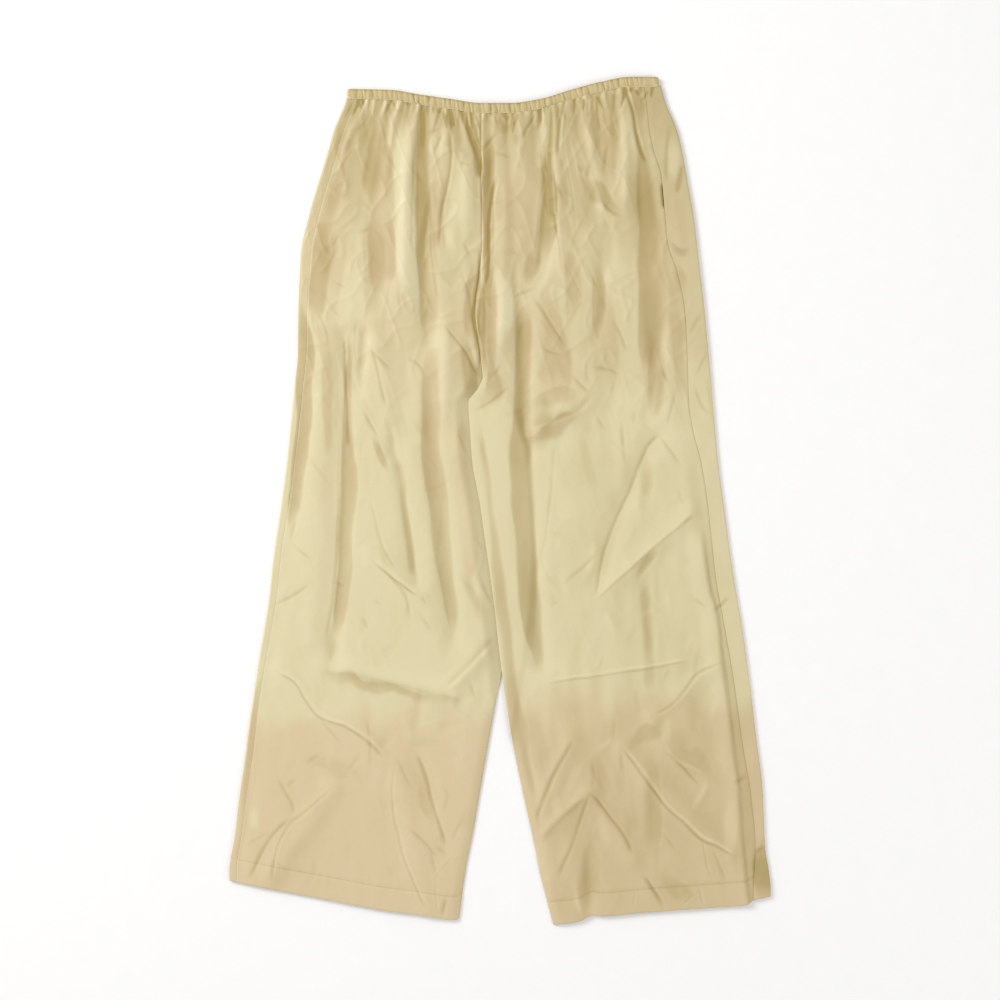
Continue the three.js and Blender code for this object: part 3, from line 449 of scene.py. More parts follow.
# Each face: warmth, darkness and the softness of both edges, then pixels with the half width
HIP_FACETS = (
    facet(0.5, 0.32, 3, 3, (378, 116, 6), (379, 150, 11), (378, 185, 15), (379, 214, 16)),
    facet(0.55, 0.27, 1.6, 1.2, (381, 208, 13), (381, 250, 14), (384, 300, 14)),
    facet(-0.3, -0.15, 3, 2, (352, 226, 7), (354, 268, 11), (351, 310, 14), (350, 356, 12)),
    facet(0.3, 0.4, 2, 3, (324, 226, 8), (319, 280, 10), (315, 326, 8)),
    facet(0.3, 0.2, 2, 2, (345, 160, 4), (338, 190, 5), (330, 224, 5)),
    facet(-0.3, -0.2, 2.5, 1.2, (404, 112, 6), (403, 160, 9), (405, 215, 9), (407, 260, 10), (414, 316, 12)),
    facet(0.17, 0.36, 1.2, 4, (419, 106, 3.5), (422, 150, 5), (423, 200, 7), (426, 250, 9), (431, 350, 10)),
    facet(0.26, 0.25, 4, 1.5, (438, 175, 6), (437, 215, 7), (441, 258, 6)),
    facet(-0.2, -0.06, 2, 5, (460, 150, 12), (461, 200, 14), (460, 240, 13), (456, 280, 11)),
    facet(-0.2, -0.2, 1.2, 1.2, (440, 122, 5), (436, 146, 7), (433, 168, 4)),
    facet(0.3, 0.4, 3, 1.2, (475, 258, 5), (472, 300, 8), (474, 352, 7)),
    facet(0.3, 0.4, 1.2, 2.5, (488, 262, 5), (488, 310, 8), (487, 350, 8), (485, 392, 8)),
    facet(0.26, 0.42, 3, 1, (471, 124, 4), (477, 155, 4), (480, 186, 3)),
    facet(0.3, 0.36, 1, 1.2, (488, 136, 6), (488, 200, 5.5), (487, 250, 5), (486, 294, 4)),
    facet(0.5, -0.2, 3, 3, (520, 150, 17), (521, 200, 21), (518, 240, 18), (512, 275, 11)),
    facet(0, 0.5, 3.5, 1.2, (549, 106, 3), (549, 155, 4), (548, 200, 7), (546, 235, 10), (541, 274, 9)),
    facet(0.17, -0.2, 1.2, 4, (557, 136, 4), (558, 190, 4), (562, 240, 5), (567, 294, 7)),
    facet(-0.1, 0.42, 3, 4, (584, 180, 5), (596, 193, 8), (612, 206, 7), (624, 216, 4)),
    facet(-0.1, -0.04, 4, 1.2, (622, 205, 8), (624, 250, 12), (623, 300, 13), (621, 344, 12)),
    facet(0.3, 0.36, 1.5, 6, (641, 140, 4), (645, 184, 8), (648, 225, 11), (650, 320, 12), (646, 384, 7)),
    facet(-0.1, -0.2, 1.5, 3, (628, 112, 4), (630, 150, 5), (634, 188, 4)),
    facet(0.34, 0.17, 3, 3, (606, 110, 6), (610, 150, 7), (606, 182, 6)),
    facet(0.6, -0.06, 2, 1.5, (674, 188, 6), (676, 212, 9), (679, 236, 9)),
    facet(0.1, 0.34, 4, 1, (668, 240, 1.5), (678, 247, 3), (691, 241, 2)),
    facet(0.1, 0.34, 1.5, 1.5, (683, 166, 1.5), (680, 180, 2.5), (677, 194, 1.5)),
    facet(-0.3, -0.18, 2, 3, (671, 130, 4), (674, 158, 5), (673, 186, 4)),
    facet(0.2, 0.18, 3, 3, (674, 254, 4), (680, 276, 5), (683, 300, 4)),
    facet(-0.3, -0.3, 4, 1.3, (505, 272, 6), (505, 310, 7), (502, 348, 6)),
    facet(0.5, 0.24, 4, 3, (544, 296, 8), (556, 340, 13), (556, 375, 20), (552, 410, 22)),
    facet(0.2, 0.26, 5, 6, (536, 384, 6), (541, 412, 10), (538, 440, 9), (532, 470, 5)),
    facet(0.2, 0.26, 2, 2, (536, 244, 5), (531, 268, 7), (526, 290, 4)),
    facet(0.1, 0.2, 3, 3, (484, 112, 8), (498, 116, 14), (520, 112, 10)),
    facet(0.4, 0.2, 5, 1.5, (530, 404, 7), (556, 400, 9), (584, 388, 6)),
    facet(0.2, 0.16, 3, 3, (601, 284, 7), (605, 340, 11), (606, 404, 11)),
    facet(0.3, 0.26, 2, 4, (657, 336, 6), (656, 380, 8), (652, 428, 5)),
    facet(0.34, 0.36, 5, 1.2, (524, 438, 6), (552, 430, 8), (584, 408, 5)),
    facet(0.34, 0.31, 1.3, 2.5, (597, 270, 7), (597, 310, 7), (594, 352, 6)),
    facet(0.09, 0.42, 1.3, 5, (491, 362, 5), (495, 384, 9), (485, 404, 6)),
    facet(0.26, 0.42, 4, 1.3, (464, 334, 5), (470, 372, 8), (466, 408, 5)),
    facet(0.42, 0.2, 3, 3, (345, 120, 5), (337, 172, 6)),
    facet(0.42, 0.14, 4, 4, (328, 215, 6), (325, 285, 6)),
    facet(0.26, 0.17, 2, 4, (573, 250, 7), (573, 300, 7), (568, 330, 5)),
    facet(0.17, 0.2, 2, 4, (671, 300, 5), (678, 350, 6), (684, 400, 5)),
)
LEG_FACETS = (
    facet(0.4, 0.46, 1.5, 2, (299, 300, 5), (304, 350, 9), (304, 400, 9), (302, 440, 8), (291, 540, 5)),
    facet(0.4, 0.1, 1.3, 1.5, (320, 312, 4), (325, 360, 5), (327, 400, 5), (328, 430, 4), (326, 462, 2)),
    facet(
        0.45, 0.4, 1.5, 2.2, (349, 336, 2), (348, 400, 4.5), (348, 450, 6), (350, 484, 7.5),
        (347, 520, 8), (345, 560, 8.5), (341, 592, 7), (337, 646, 5)
    ),
    facet(0.26, 0.14, 3, 3, (336, 640, 6), (335, 668, 7)),
    facet(0.42, 0.28, 2, 1.5, (396, 452, 2.5), (403, 500, 3.5), (410, 545, 3.5), (414, 584, 2.5)),
    facet(0.34, 0.28, 1.5, 2, (372, 430, 2), (380, 452, 3), (389, 472, 2)),
    facet(
        0.5, 0.3, 1.4, 2.4, (431, 350, 9), (430, 400, 9.5), (431, 450, 9.5), (437, 490, 10),
        (442, 535, 9), (446, 570, 8.5), (452, 612, 6), (454, 650, 4.5)
    ),
    facet(0.51, 0.06, 5, 5, (460, 430, 6), (466, 520, 9), (474, 600, 8)),
    facet(0.3, -0.2, 5, 3, (330, 450, 8), (326, 540, 9), (320, 630, 8)),
    facet(0.34, 0.06, 4, 1.3, (460, 570, 2), (474, 598, 6), (488, 634, 6)),
    facet(0.51, 0.2, 5, 1.2, (326, 674, 5), (375, 684, 7), (409, 691, 5), (446, 698, 3)),
    facet(0, -0.11, 1.2, 5, (336, 661, 5), (400, 672, 6), (458, 686, 5)),
    facet(-0.2, 0.14, 3, 4, (298, 748, 5), (330, 764, 8), (368, 781, 7)),
    facet(-0.5, 0.14, 3, 3, (408, 718, 3), (445, 717, 5)),
    facet(-0.5, 0.14, 3, 3, (398, 734, 4), (444, 742, 4)),
    facet(-0.4, 0.14, 3, 3, (372, 800, 5), (410, 797, 5)),
    facet(-0.3, 0.22, 1.3, 3, (420, 776, 3), (424, 800, 5), (434, 828, 3)),
    facet(
        0.3, 0.43, 1.8, 3.5, (517, 290, 4), (523, 330, 8), (523, 380, 9), (521, 440, 9.5),
        (521, 474, 10.5), (524, 514, 11.5), (527, 560, 11), (531, 612, 9), (538, 655, 6.5), (543, 684, 4)
    ),
    facet(
        0.4, 0.27, 3, 3, (480, 420, 2), (486, 480, 3), (495, 545, 4.5), (501, 600, 5.5), (508, 660, 6),
        (523, 770, 7), (538, 850, 8)
    ),
    facet(0, 0.14, 4, 4, (532, 690, 8), (536, 740, 9), (546, 792, 8)),
    facet(0.38, 0.2, 4, 4, (648, 455, 5), (646, 500, 5)),
    facet(0.34, 0.34, 2, 1.3, (636, 579, 2), (645, 562, 5), (657, 546, 3)),
    facet(0.34, 0.22, 4, 4, (645, 580, 4), (647, 640, 5), (650, 694, 5)),
    facet(-0.3, 0.3, 6, 5, (588, 832, 3), (589, 880, 9), (584, 914, 11)),
    facet(-0.2, 0.22, 6, 1.2, (650, 752, 3), (653, 796, 7), (652, 856, 8)),
    facet(0, 0.22, 4, 2, (622, 752, 3), (646, 734, 7), (668, 716, 4)),
    facet(-0.1, 0.14, 6, 5, (670, 742, 8), (694, 762, 12), (704, 790, 10)),
    facet(0.09, -0.18, 4, 2, (731, 796, 6), (731, 830, 7), (728, 862, 5)),
    facet(-0.2, 0.2, 1.5, 4, (596, 752, 4), (598, 776, 7), (610, 800, 8)),
    facet(0.17, -0.11, 2, 2, (584, 758, 4), (570, 786, 5), (548, 818, 4)),
    facet(-0.2, 0.2, 4, 4, (664, 868, 8), (678, 890, 10), (690, 910, 8)),
    facet(-0.3, 0.62, 3, 3, (764, 838, 5), (763, 860, 11), (764, 906, 13)),
    facet(-0.8, 0, 4, 4, (254, 803, 5), (253, 835, 5)),
    facet(0.42, 0.22, 1.5, 1.2, (262, 668, 2), (252, 740, 3), (245, 800, 3), (238, 870, 3)),
)

FACETS = HIP_FACETS + LEG_FACETS

# Heights down the garment, and thicknesses in millimetres
CROTCH_Y = 148.0
WAIST_Y, OUTER_HEM_Y, SEAM_HEM_Y, INNER_HEM_Y = 490.0, -470.0, -485.0, -508.0
HEM_DEPTH = 29.0
CASING_HEIGHT = 12.7
REST = 0.3
CLEARANCE = 0.05
LAP_HEIGHT = 3.8
CLOTH = 0.45
SEAM_GROOVE, SEAM_REACH = 0.22, 1.1


def smooth(value: Grid, low: Grid, high: Grid) -> Grid:
    """Soft step from 0 at low to 1 at high."""
    t = np.clip((value - low) / (high - low), 0, 1)
    return t * t * (3 - 2 * t)


def mix(start: Grid, end: Grid, share: Grid) -> Grid:
    """Value a share of the way from start to end."""
    return start + (end - start) * share


def above(value: Grid, least: Grid, softness: float) -> Grid:
    """Value kept above a least one, with a soft turn where it would sink below."""
    return 0.5 * (value + least + np.sqrt((value - least) ** 2 + softness**2))


def bell(away: Grid) -> Grid:
    """Bell curve, 1 in its middle."""
    return np.exp(-(away**2))


def rounded(share: Grid) -> Grid:
    """Quarter circle, from 0 with a steep start to 1 with a level end."""
    return np.sqrt(1 - (1 - np.clip(share, 0, 1)) ** 2)


def running(steps: Grid) -> Grid:
    """Sum of the steps before each one, and of all of them."""
    return np.concatenate([[0], np.cumsum(steps)])


def upward(points: Grid, length: float = 1.0) -> Grid:
    """Arrows straight up from points, or down for a length below 0."""
    return np.zeros_like(points) + np.array([0, 0, length])


class Curve:
    """Smooth line through a table's rows that never overshoots them."""

    def __init__(self, rows: tuple, key: str = "y", column: str = "x") -> None:
        """Take one column of a table against another.

        Args:
            rows: Rows with named columns.
            key: Column that the line is read at.
            column: Column that the line gives.
        """
        pairs = sorted((getattr(row, key), getattr(row, column)) for row in rows)
        self.at = np.array([pair[0] for pair in pairs], dtype=float)
        self.value = np.array([pair[1] for pair in pairs], dtype=float)
        slope = np.diff(self.value) / np.diff(self.at)
        before, after = slope[:-1], slope[1:]
        product = before * after
        total = np.where(product > 0, before + after, 1.0)
        inner = np.where(product > 0, 2 * product / total, 0.0)
        self.tangent = np.concatenate([slope[:1], inner, slope[-1:]])

    def __call__(self, place: Grid) -> Grid:
        """Read the line, held level beyond its ends.

        Args:
            place: Places in the key column.

        Returns:
            The line's value at each place.
        """
        place = np.clip(place, self.at[0], self.at[-1])
        i = np.clip(np.searchsorted(self.at, place, side="right") - 1, 0, len(self.at) - 2)
        span = self.at[i + 1] - self.at[i]
        t = (place - self.at[i]) / span
        rise = (1 + 2 * t) * (1 - t) ** 2 * self.value[i] + t * t * (3 - 2 * t) * self.value[i + 1]
        return rise + span * (t * (1 - t) ** 2 * self.tangent[i] + t * t * (t - 1) * self.tangent[i + 1])


class Wander:
    """Smooth seeded unevenness over the plan, between -1 and 1."""

    CELLS = 64

    def __init__(self, seed: int, across: float, along: float) -> None:
        """Set the grain of the unevenness.

        Args:
            seed: Start of the random numbers.
            across: Distance between turns across the garment, in millimetres.
            along: Distance between turns down the garment, in millimetres.
        """
        self.values = np.random.default_rng(seed).uniform(-1, 1, (self.CELLS, self.CELLS))
        self.across = across
        self.along = along

    def __call__(self, x: Grid, y: Grid) -> Grid:
        """Read the unevenness.

        Args:
            x: Places across the garment.
            y: Places down the garment.

        Returns:
            The unevenness at each place.
        """
        u, v = np.asarray(x) / self.across + 31.7, np.asarray(y) / self.along + 17.3
        i, j = np.floor(u).astype(int), np.floor(v).astype(int)
        s, t = u - i, v - j
        s, t = s * s * (3 - 2 * s), t * t * (3 - 2 * t)
        i, j, beside, beyond = (number % self.CELLS for number in (i, j, i + 1, j + 1))
        corner = self.values
        low, high = (mix(corner[i, row], corner[beside, row], s) for row in (j, beyond))
        return mix(low, high, t)


BODY = Curve(LEVELS, "y", "body")
EDGE = Curve(LEVELS, "y", "edge")
CENTRE = Curve(CENTRE_SEAM)
CASING_EDGE = Curve(CASING_TOP, "x", "y")
BARE_STRIP = Curve(LAP_WIDTH)


def waist_seam(x: Grid) -> Grid:
    """Lower edge of the casing."""
    return CASING_EDGE(x) - CASING_HEIGHT - 0.3


def below_crotch(y: Grid) -> Grid:
    """How far a height is below the crotch, from 0 just above it to 1 just below it."""
    return 1 - smooth(y, CROTCH_Y - 8, CROTCH_Y + 30)


@dataclass
class Leg:
    """Outline of one leg as smooth lines down the garment.

    Attributes:
        name: Name of the wearer's side.
        side: 1 at +X, -1 at -X.
        outer: Outer fold by height.
        seam: Side seam by height.
        inner_edge: Inner edge by height, below the crotch.
        hem_line: Hem of the front by place across.
        back_hem_line: Hem of the back by place across.
    """

    name: str
    side: int
    outer: Curve
    seam: Curve
    inner_edge: Curve
    hem_line: Curve
    back_hem_line: Curve

    @property
    def seam_tone(self) -> float:
        """Shade along the side seam, which is lit on the right leg."""
        return 0.08 if self.side > 0 else -0.14

    def ends(self) -> tuple[Grid, Grid, float]:
        """X of the inner edge at waist and hem, and the length between them."""
        top, hem = self.inner(np.array(WAIST_Y)), self.inner(np.array(INNER_HEM_Y))
        return top, hem, float(waist_seam(top) - self.hem_line(hem))

    def inner(self, y: Grid) -> Grid:
        """Centre seam above the crotch and the inner edge of the leg below it."""
        return np.where(y > CROTCH_Y, CENTRE(y), self.inner_edge(y))

    def settle(self, share: Grid, top_x: Grid, hem_x: Grid, hem: Curve, across: Callable) -> Grid:
        """Height down the garment of points a share of the way from waist to hem.

        Args:
            share: Share of the way down.
            top_x: X at the waist.
            hem_x: X at the hem.
            hem: Hem line that the share ends on.
            across: Gives the points' X at any height.

        Returns:
            Y of each point.
        """
        y = mix(waist_seam(top_x), hem(hem_x), share)
        for _ in range(4):
            x = across(y)
            y = mix(waist_seam(mix(x, top_x, share)), hem(mix(hem_x, x, share)), share)
        return y


RIGHT_LEG = Leg(
    "right", -1, Curve(RIGHT_SECTIONS, "y", "outer"), Curve(RIGHT_SECTIONS, "y", "seam"),
    Curve(RIGHT_INSEAM), Curve(RIGHT_HEM, "x", "y"), Curve(RIGHT_HEM, "x", "y"),
)
LEFT_LEG = Leg(
    "left", 1, Curve(LEFT_SECTIONS, "y", "outer"), Curve(LEFT_SECTIONS, "y", "seam"),
    Curve(LEFT_INSEAM), Curve(LEFT_HEM, "x", "y"), Curve(LEFT_BACK_HEM, "x", "y"),
)


def lap_height(x: Grid, y: Grid, spread: float) -> Grid:
    """Height on which the left leg lies over the right one.

    Args:
        x: Places across the garment.
        y: Places down the garment.
        spread: How much further than the right leg's edge the height reaches.

    Returns:
        Height in millimetres.
    """
    past = x - RIGHT_LEG.inner_edge(y) - spread
    return LAP_HEIGHT * (1 - smooth(past, 5, 19)) * below_crotch(y)


@dataclass
class Trace:
    """A crease's line, smoothed through its points.

    Attributes:
        points: Places along the line.
        strength: Share of the crease's height at each point.
        girth: Half width at each point.
    """

    points: Grid
    strength: Grid
    girth: Grid

    @classmethod
    def along(cls, path: Grid, rng: np.random.Generator, fading: float, sway: float) -> "Trace":
        """Smooth a path and give it a slight unevenness.

        Args:
            path: Corner points in millimetres, each with the half width there.
            rng: Source of the unevenness.
            fading: Greatest length over which each end fades out.
            sway: Length of its longer bends.

        Returns:
            The finished line.
        """
        ends = np.vstack([2 * path[0] - path[1], path, 2 * path[-1] - path[-2]])
        parts = []
        for i in range(len(path) - 1):
            a, b, c, d = ends[i : i + 4]
            count = max(2, int(np.hypot(*(c - b)[:2]) / 2.5))
            t = np.linspace(0, 1, count, endpoint=False)[:, None]
            curve = 2 * b + (c - a) * t + (2 * a - 5 * b + 4 * c - d) * t**2
            parts.append(0.5 * (curve + (3 * b - a - 3 * c + d) * t**3))
        points = np.vstack([*parts, path[-1:]])
        points, girth = points[:, :2], np.maximum(points[:, 2], 0.5)
        reach = running(np.hypot(*np.diff(points, axis=0).T))
        heading = np.gradient(points, axis=0)
        heading /= np.maximum(np.hypot(*heading.T), 1e-6)[:, None]
        phase = rng.uniform(0, 6.28, 3)
        bend = 0.35 * np.sin(reach / sway + phase[0]) + 0.1 * np.sin(reach / 3.7 + phase[1])
        points = points + np.stack([-heading[:, 1], heading[:, 0]], axis=1) * bend[:, None]
        girth = girth * (1 + 0.1 * np.sin(reach / (1.3 * sway) + phase[2]))
        fade = min(0.4 * reach[-1], fading)
        strength = smooth(reach, -0.3 * fade, fade) * smooth(reach[-1] - reach, 0, fade)
        strength = strength * (1 + 0.1 * np.sin(reach / sway + phase[1]))
        return cls(points, strength, girth)

    def box(self, margin: float, x: Grid, y: Grid) -> Grid:
        """Numbers of the places no further than a margin from the line's own box."""
        low, high = self.points.min(0) - margin, self.points.max(0) + margin
        return np.flatnonzero((x > low[0]) & (x < high[0]) & (y > low[1]) & (y < high[1]))

    def near(self, x: Grid, y: Grid) -> tuple[Grid, Grid, Grid]:
        """Measure how far places are from the line.

        Args:
            x: Places across the garment.
            y: Places down the garment.

        Returns:
            Signed distance, right of the line positive, and the strength and half width there.
        """
        start, step = self.points[:-1], np.diff(self.points, axis=0)
        square = np.maximum((step**2).sum(1), 1e-9)
        dx, dy = x[:, None] - start[:, 0], y[:, None] - start[:, 1]
        t = np.clip((dx * step[:, 0] + dy * step[:, 1]) / square, 0, 1)
        off_x, off_y = dx - t * step[:, 0], dy - t * step[:, 1]
        away = np.hypot(off_x, off_y)
        best = away.argmin(1)
        rows = np.arange(len(x))
        turn = step[best, 1] * off_x[rows, best] - step[best, 0] * off_y[rows, best]
        share = t[rows, best]
        strength = mix(self.strength[best], self.strength[best + 1], share)
        girth = mix(self.girth[best], self.girth[best + 1], share)
        return away[rows, best] * np.sign(turn), strength, girth


class Relief:
    """Height that folds, creases and gathers add to the cloth."""

    def __init__(self, creases: tuple[Crease, ...], seed: int, wrinkles: int) -> None:
        """Lay out the creases of one side of the garment.

        Args:
            creases: Creases placed one by one.
            seed: Start of the random numbers.
            wrinkles: How many fine secondary wrinkles lie between them.
        """
        rng = np.random.default_rng(seed)
        self.lines: list[tuple[Crease, Trace]] = []
        for crease in creases:
            path = np.array([[*PHOTO.place(px, py), crease.width] for px, py in crease.path])
            fading, sway = (30.0, 24.0) if crease.kind.soft else (16.0, 11.0)
            self.lines.append((crease, Trace.along(path, rng, fading, sway)))
        for _ in range(wrinkles):
            y = rng.uniform(-480, 440)
            x = rng.uniform(RIGHT_LEG.seam(y) + 12, LEFT_LEG.seam(y) - 20)
            angle = rng.normal(1.57, 0.55)
            length = rng.uniform(14, 52)
            half = 0.5 * length * np.array([math.cos(angle), math.sin(angle)])
            bow = rng.normal(0, 0.1) * length
            side = np.array([-half[1], half[0]]) / length * 2 * bow
            kind = (Fold.PINCH, Fold.FURROW, Fold.HOLLOW, Fold.ROLL)[rng.integers(4)]
            width = rng.uniform(4, 7.5) if kind.soft else rng.uniform(2.0, 2.6)
            height = rng.uniform(0.25, 0.6) if kind.soft else rng.uniform(0.15, 0.35)
            path = np.column_stack([[x, y] + np.vstack([-half, side, half]), np.full(3, width)])
            self.lines.append((Crease(kind, width, height, ()), Trace.along(path, rng, 16.0, 14.0)))
        self.broad = Wander(seed + 1, 52, 95)
        self.streaks = Wander(seed + 2, 13, 42)
        self.grain = Wander(seed + 3, 5.5, 9)
        self.slanted = Wander(seed + 4, 17, 36)
        self.tilted = Wander(seed + 5, 23, 30)

    def crumple(self, x: Grid, y: Grid) -> Grid:
        """Network of faint creases, strongest on the hips.

        Args:
            x: Places across the garment.
            y: Places down the garment.

        Returns:
            Share of their height, 1 on their crests.
        """
        first = 1 - np.abs(self.slanted(x + 0.35 * y, y))
        second = 1 - np.abs(self.tilted(x - 0.5 * y, y))
        return (first**7 + second**7) * (0.25 + 0.75 * smooth(y, 60, 240))

    @staticmethod
    def profile(kind: Fold, away: Grid) -> tuple[Grid, Grid]:
        """Shares of a crease's height and of its shade.

        Args:
            kind: Shape of the crease.
            away: Signed distance from its line in half widths.

        Returns:
            Share of the height and share of the shade.
        """
        round_top = bell(away)
        if kind is Fold.ROLL:
            return round_top, -0.2 * round_top
        if kind is Fold.HOLLOW:
            flat = np.exp(-np.abs(away / 1.15) ** 3)
            return -0.55 * flat, 0.07 * flat
        if kind is Fold.PINCH:
            crest = np.exp(-1.5 * (np.sqrt(away**2 + 0.08) - 0.28))
            shade = 0.35 * bell((away - 0.9) / 0.7) - 0.25 * bell((away + 0.7) / 0.7)
            return 0.42 * crest + 0.1 * bell(away / 2.6), shade
        if kind is Fold.FURROW:
            lips = 0.3 * bell((away + 1.7) / 0.9) + 0.1 * bell(away - 1.8)
            return 0.55 * (lips - round_top), 0.42 * round_top
        crest = 0.5 * (1 - np.tanh(2.4 * away))
        height = crest * bell(np.minimum(away, 0) / 2.6)
        edge = 1 / (1 + np.exp(np.clip((0.2 - away) / 0.12, -40, 40)))
        return 0.7 * height, 0.2 * edge * bell(np.maximum(away - 0.3, 0) / 2.0)

    def form(self, x: Grid, y: Grid) -> tuple[Grid, Grid]:
        """Height and shade of all creases at places on the plan.

        Args:
            x: Places across the garment.
            y: Places down the garment.

        Returns:
            Height in millimetres and shade, 1 in the darkest troughs and below 0 on ridges.
        """
        shape = x.shape
        x, y = x.ravel(), y.ravel()
        broad, streaks = self.broad(x, y), self.streaks(x, y)
        total = 0.42 * broad + 0.16 * streaks + 0.04 * self.grain(x, y) + 0.5 * self.crumple(x, y)
        shade = -0.07 * broad - 0.05 * streaks
        for crease, trace in self.lines:
            inside = trace.box(3.2 * crease.width, x, y)
            if len(inside) == 0:
                continue
            away, strength, girth = trace.near(x[inside], y[inside])
            if crease.kind.soft:
                girth = girth * (0.35 + 0.65 * np.sqrt(np.clip(strength, 0, 1)))
            height, dark = self.profile(crease.kind, away / girth)
            total[inside] += crease.height * strength * height
            shade[inside] += min(crease.height, 1.5) * strength * dark
        return total.reshape(shape), shade.reshape(shape)


class Faces:
    """Flat faces between the folds, with their painted shading and the slight steps at their edges."""

    def __init__(self, facets: tuple[Facet, ...], seed: int, small: int) -> None:
        """Lay out the faces.

        Args:
            facets: Faces placed one by one.
            seed: Start of the random numbers.
            small: How many faint small ones lie between them.
        """
        rng = np.random.default_rng(seed)
        self.lines: list[tuple[Facet, Trace]] = []
        for _ in range(small):
            px, py = rng.uniform(300, 700), rng.uniform(120, 880)
            lean, half, size = rng.normal(0, 0.22), 0.5 * rng.uniform(18, 64), rng.uniform(2, 5.5)
            ends = ((px - lean * half, py - half), (px, py), (px + lean * half, py + half))
            path = tuple((*end, size * share) for end, share in zip(ends, (0.6, 1.0, 0.7)))
            tone = rng.uniform(-0.1, 0.13)
            facets += (Facet(rng.uniform(-0.2, 0.4), tone, rng.uniform(1.2, 5), rng.uniform(1.2, 5), path),)
        # Small wedges of painted shade just below the casing, a few of them painted paler
        for px in rng.permutation(np.arange(351, 656, 5.2))[: small // 2]:
            top = PHOTO.row(float(waist_seam(PHOTO.place(px, 0)[0]))) - 1.5
            lean, drop, size = rng.normal(0, 3), rng.uniform(4, 22), rng.uniform(1.2, 2.6)
            middle = (px + 0.5 * lean, top + 0.5 * drop, 0.7 * size)
            path = ((px, top, size), middle, (px + lean, top + drop, 0.4))
            facets += (Facet(rng.uniform(-0.1, 0.3), rng.choice([-0.3, 0.4, 0.7]), 0.7, 0.9, path),)
        for face in facets:
            path = np.array([[*PHOTO.place(px, py), half * PHOTO.mm_per_px] for px, py, half in face.path])
            widest = float(path[:, 2].max())
            fading = widest if widest < 3.4 else max(20.0, 4.0 * widest)
            self.lines.append((face, Trace.along(path, rng, fading, 26.0)))
        self.sideways = Wander(seed + 1, 24, 38)
        self.lengthways = Wander(seed + 2, 17, 30)

    def painted_shading(self, x: Grid, y: Grid) -> tuple[Grid, Grid]:
        """Painted shading of all faces at places on the plan.

        Args:
            x: Places across the garment.
            y: Places down the garment.

        Returns:
            Painted darkness, below 0 where they are painted paler, and the warmth that they add.
        """
        shape = x.shape
        x, y = x.ravel(), y.ravel()
        x, y = x + 2.2 * self.sideways(x, y), y + 9 * self.lengthways(x, y)
        dark, warm = np.zeros_like(x), np.zeros_like(x)
        for face, trace in self.lines:
            margin = float(trace.girth.max()) + 1.8 * PHOTO.mm_per_px * max(face.left, face.right)
            inside = trace.box(margin, x, y)
            if len(inside) == 0:
                continue
            away, strength, girth = trace.near(x[inside], y[inside])
            strength = np.clip(strength, 0, 1.2)
            girth = girth * (0.25 + 0.75 * np.sqrt(strength))
            share = strength
            for past, softness in ((away - girth, face.left), (-away - girth, face.right)):
                reach = 0.8 * softness * PHOTO.mm_per_px
                share = share * (1 - smooth(past, -reach, reach))
            dark[inside] += face.dark * share
            warm[inside] += face.warm * share
        return dark.reshape(shape), warm.reshape(shape)


def swell_height(x: Grid, y: Grid) -> Grid:
    """Height of the broad folds at places on the plan.

    Args:
        x: Places across the garment.
        y: Places down the garment.

    Returns:
        Height in millimetres.
    """
    total = np.zeros_like(x)
    for swell in SWELLS:
        dx, dy = swell.x1 - swell.x0, swell.y1 - swell.y0
        t = np.clip(((x - swell.x0) * dx + (y - swell.y0) * dy) / (dx * dx + dy * dy), 0, 1)
        away = np.hypot(x - swell.x0 - t * dx, y - swell.y0 - t * dy) / swell.width
        total += swell.height * bell(away)
    return total


@dataclass
class Gathers:
    """Uneven gathers that hang from the casing along one stretch of it.

    Attributes:
        seed: Start of the random numbers.
        count: How many gathers there are.
        height: Height of a middling gather in millimetres.
        reach: Length of the longest one.
        start: Half width at the casing.
        spread: How much wider each gets per millimetre.
    """

    seed: int
    count: int
    height: float
    reach: float = 104.0
    start: float = 1.7
    spread: float = 0.035

    def rise(self, share: Grid, drop: Grid, width: Grid) -> Grid:
        """Height that the gathers add.

        Args:
            share: Place along the stretch, 0 to 1.
            drop: Distance below the casing in millimetres.
            width: Width of the stretch at that height.

        Returns:
            Height in millimetres.
        """
        rng = np.random.default_rng(self.seed)
        total = np.zeros_like(drop)
        place = (np.arange(self.count) + 0.5 + rng.uniform(-0.33, 0.33, self.count)) / self.count
        for k in range(self.count):
            length = self.reach * (0.09 + 0.91 * rng.uniform(0, 1) ** 2.2)
            size = self.height * rng.uniform(0.45, 1.35)
            start = self.start * rng.uniform(0.75, 1.25)
            drift = rng.normal(0, 0.05 / self.reach)
            sign = 1 if k % 2 else -1
            half = start + self.spread * np.maximum(drop, 0)
            away = (share - place[k] - drift * drop) * width / half
            total += sign * size * bell(away) * (1 - smooth(drop, 0.2 * length, length))
        return total


